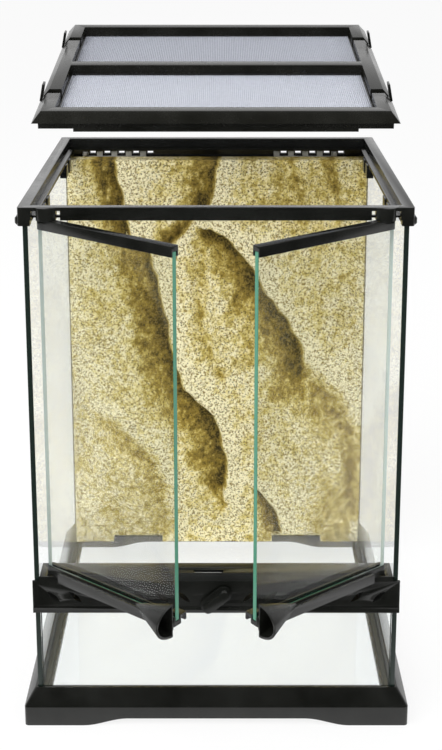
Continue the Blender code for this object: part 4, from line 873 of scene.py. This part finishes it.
def wire_run(name, start, end, pitch, count, step_axis, wire):
    """Parallel wires: one six-sided wire, drawn once and set out in a row."""
    start, end = Vector(start), Vector(end)
    run = end - start
    deselect()
    bpy.ops.mesh.primitive_cylinder_add(
        vertices=6, radius=wire / 2, depth=run.length, location=(start + end) / 2,
        rotation=run.to_track_quat("Z", "Y").to_euler(), end_fill_type="NGON")
    piece = named(name)
    rest_on_origin()
    offset = [0.0, 0.0, 0.0]
    offset["XYZ".index(step_axis)] = pitch
    apply_modifier(piece, "ARRAY", use_relative_offset=False, use_constant_offset=True,
                   constant_offset_displace=offset, count=count)
    return piece


def wire_net(name, low_a, high_a, low_b, high_b, level, across):
    """A net of wires in two layers, on a plane at one level of the axis named by across."""
    look = settings("screens")
    pitch, wire = look.pitch, look.wire
    count_a = int((high_a - low_a - 2 * wire) / pitch)
    count_b = int((high_b - low_b - 2 * wire) / pitch)
    first_a = (low_a + high_a - count_a * pitch) / 2
    first_b = (low_b + high_b - count_b * pitch) / 2
    half = wire * 0.45      # the layers sink into each other a little, as woven wires do
    if across == "Z":
        ends_b = ((first_a, low_b, level + half), (first_a, high_b, level + half))
        ends_a = ((low_a, first_b, level - half), (high_a, first_b, level - half))
        axis_b = "Y"
    else:
        ends_b = ((first_a, level + half, low_b), (first_a, level + half, high_b))
        ends_a = ((low_a, level - half, first_b), (high_a, level - half, first_b))
        axis_b = "Z"
    upright = wire_run(name, *ends_b, pitch, count_a + 1, "X", wire)
    level_run = wire_run(name + "_cross", *ends_a, pitch, count_b + 1, axis_b, wire)
    only(upright)
    level_run.select_set(True)
    bpy.ops.object.join()
    net = named(name)
    shade_smooth(net, SOFT)
    return net


def seated_box(node_name):
    """A lid piece's box once the lid is turned back into its seat."""
    back = lid_turn(-LID_AT_REST)
    points = [back @ vert.co for vert in NODES[node_name].data.vertices]
    low = Vector([min(p[i] for p in points) for i in range(3)])
    high = Vector([max(p[i] for p in points) for i in range(3)])
    return low, high


class TERRARIUM_OT_lid(bpy.types.Operator):
    """Lid: frame, wire screens, the rings that hold them and the four clips"""
    bl_idname = "terrarium.lid"
    bl_label = "Lid"

    def execute(self, context):
        moulding = settings("moulding")
        moulded("lid_frame", "lid", "lid_abs", moulding.frame_edge * 1.4)
        for which in ("front", "rear"):
            node_name = which + "_lid_mesh"
            low, high = seated_box(node_name)
            net = wire_net(node_name + "_wires", low.x, high.x, low.y, high.y,
                           (low.z + high.z) / 2, "Z")
            net.matrix_world = lid_turn(LID_AT_REST) @ net.matrix_world
            rest_on_origin()
            finish(net, "lid", "coated_wire", node_name)
            moulded(which + "_mesh_retainer", "lid", "lid_abs", moulding.fine_edge)
            for side in ("left", "right"):
                moulded(f"{side}_{which}_clip", f"clip_{side}_{which}", "black_abs",
                        moulding.fine_edge)
        return {"FINISHED"}


# Stage

def soft_lamp(name, power, size, place, target):
    """A soft lamp that lights the object and isn't seen in gloss."""
    bpy.ops.object.light_add(type="AREA", location=place)
    lamp = bpy.context.view_layer.objects.active
    lamp.name = name
    lamp.data.energy = power
    lamp.data.size = size
    lamp.visible_glossy = False
    lamp.rotation_euler = (Vector(target) - Vector(place)).to_track_quat("-Z", "Y").to_euler()


class TERRARIUM_OT_stage(bpy.types.Operator):
    """Stage: white floor, even light, two soft lamps and the camera"""
    bl_idname = "terrarium.stage"
    bl_label = "Stage"
    LIT_POINT = (0.0, 0.0, 0.25)
    KEY_AT, KEY_SIZE = (-1.5, -1.5, 2.3), 2.4
    FILL_AT, FILL_SIZE = (1.9, -1.3, 1.5), 1.8
    CAMERA_AT = (0.0039, TANK_CENTRE_Y - 1.164, 0.6766)
    CAMERA_TILT = math.radians(76.75)       # 90 degrees would be level
    SENSOR_MM, LENS_MM = 36.0, 65.47
    FRAME_SHIFT = -0.22     # brings the lower part of the tank into the photograph's frame

    def execute(self, context):
        look = settings("stage")
        deselect()
        bpy.ops.mesh.primitive_plane_add(size=look.floor_size, location=(0.0, 0.0, 0.0))
        floor = named("studio_floor")
        bpy.ops.object.mode_set(mode="EDIT")
        bpy.ops.mesh.subdivide(number_cuts=4)
        bpy.ops.object.mode_set(mode="OBJECT")
        floor.data.materials.append(material_for("studio_paper"))
        soft_lamp("key_lamp", look.key_power, self.KEY_SIZE, self.KEY_AT, self.LIT_POINT)
        soft_lamp("fill_lamp", look.fill_power, self.FILL_SIZE, self.FILL_AT, self.LIT_POINT)
        self.world(look)
        self.camera()
        context.scene.view_settings.view_transform = "Standard"
        return {"FINISHED"}

    def world(self, look):
        """White to the eye and in glass; a dimmer, even light on everything; in gloss, bright
        above and behind and dark on the camera's side, as in a studio."""
        world = bpy.data.worlds.new("studio")
        bpy.context.scene.world = world
        world.use_nodes = True
        tree = world.node_tree
        rays = add_node(tree, "ShaderNodeLightPath")
        place = add_node(tree, "ShaderNodeTexCoord")
        parts = add_node(tree, "ShaderNodeSeparateXYZ", {0: place.outputs["Generated"]})
        rise = add_node(tree, "ShaderNodeMath", {0: parts.outputs["Z"], 1: 0.3},
                        operation="MULTIPLY")
        toward = add_node(tree, "ShaderNodeMath", {0: rise.outputs[0], 1: parts.outputs["Y"]},
                          operation="ADD")
        studio = add_node(tree, "ShaderNodeMapRange",
                          {"Value": toward.outputs[0], "From Min": -0.15, "From Max": 0.7,
                           "To Min": 0.06, "To Max": 1.0})
        seen = add_node(tree, "ShaderNodeMath",
                        {0: rays.outputs["Is Camera Ray"],
                         1: rays.outputs["Is Transmission Ray"]}, operation="MAXIMUM")
        unseen = add_node(tree, "ShaderNodeMix",
                          {0: rays.outputs["Is Glossy Ray"], 6: (*(look.ambient,) * 3, 1.0),
                           7: studio.outputs[0]}, data_type="RGBA")
        light = add_node(tree, "ShaderNodeMix",
                         {0: seen.outputs[0], 6: unseen.outputs[2], 7: WHITE}, data_type="RGBA")
        fill(tree, tree.nodes["Background"], {"Color": light.outputs[2]})

    def camera(self):
        """The photograph's viewpoint, measured on the tank's corners."""
        bpy.ops.object.camera_add(location=self.CAMERA_AT, rotation=(self.CAMERA_TILT, 0.0, 0.0))
        camera = bpy.context.view_layer.objects.active
        camera.name = "photo_camera"
        camera.data.sensor_width = self.SENSOR_MM
        camera.data.lens = self.LENS_MM
        camera.data.shift_y = self.FRAME_SHIFT
        camera.data.clip_end = 100.0
        bpy.context.scene.camera = camera


class TERRARIUM_PT_panel(bpy.types.Panel):
    """Lists the pieces and the sizes and colours behind them"""
    bl_label = "Glass terrarium"
    bl_idname = "TERRARIUM_PT_panel"
    bl_space_type = "VIEW_3D"
    bl_region_type = "UI"
    bl_category = "Terrarium"

    def draw(self, context):
        for operator in OPERATORS:
            self.layout.operator(operator.bl_idname, text=operator.bl_label)
        for name, group in SETTINGS.items():
            box = self.layout.box()
            box.label(text=name.capitalize())
            for field in group.__annotations__:
                box.prop(settings(name), field)


OPERATORS = [TERRARIUM_OT_base, TERRARIUM_OT_top_frame, TERRARIUM_OT_panes, TERRARIUM_OT_doors,
             TERRARIUM_OT_vent_bar, TERRARIUM_OT_lock, TERRARIUM_OT_cable_shutters,
             TERRARIUM_OT_rock_wall, TERRARIUM_OT_lid, TERRARIUM_OT_stage]


def register():
    for name, group in SETTINGS.items():
        bpy.utils.register_class(group)
        setattr(bpy.types.Scene, "terrarium_" + name, bpy.props.PointerProperty(type=group))
    for operator in OPERATORS:
        bpy.utils.register_class(operator)
    bpy.utils.register_class(TERRARIUM_PT_panel)


def unregister():
    bpy.utils.unregister_class(TERRARIUM_PT_panel)
    for operator in reversed(OPERATORS):
        bpy.utils.unregister_class(operator)
    for name, group in SETTINGS.items():
        delattr(bpy.types.Scene, "terrarium_" + name)
        bpy.utils.unregister_class(group)


def main():
    register()
    for operator in OPERATORS:
        group, name = operator.bl_idname.split(".")
        getattr(getattr(bpy.ops, group), name)()


if __name__ == "__main__":
    main()
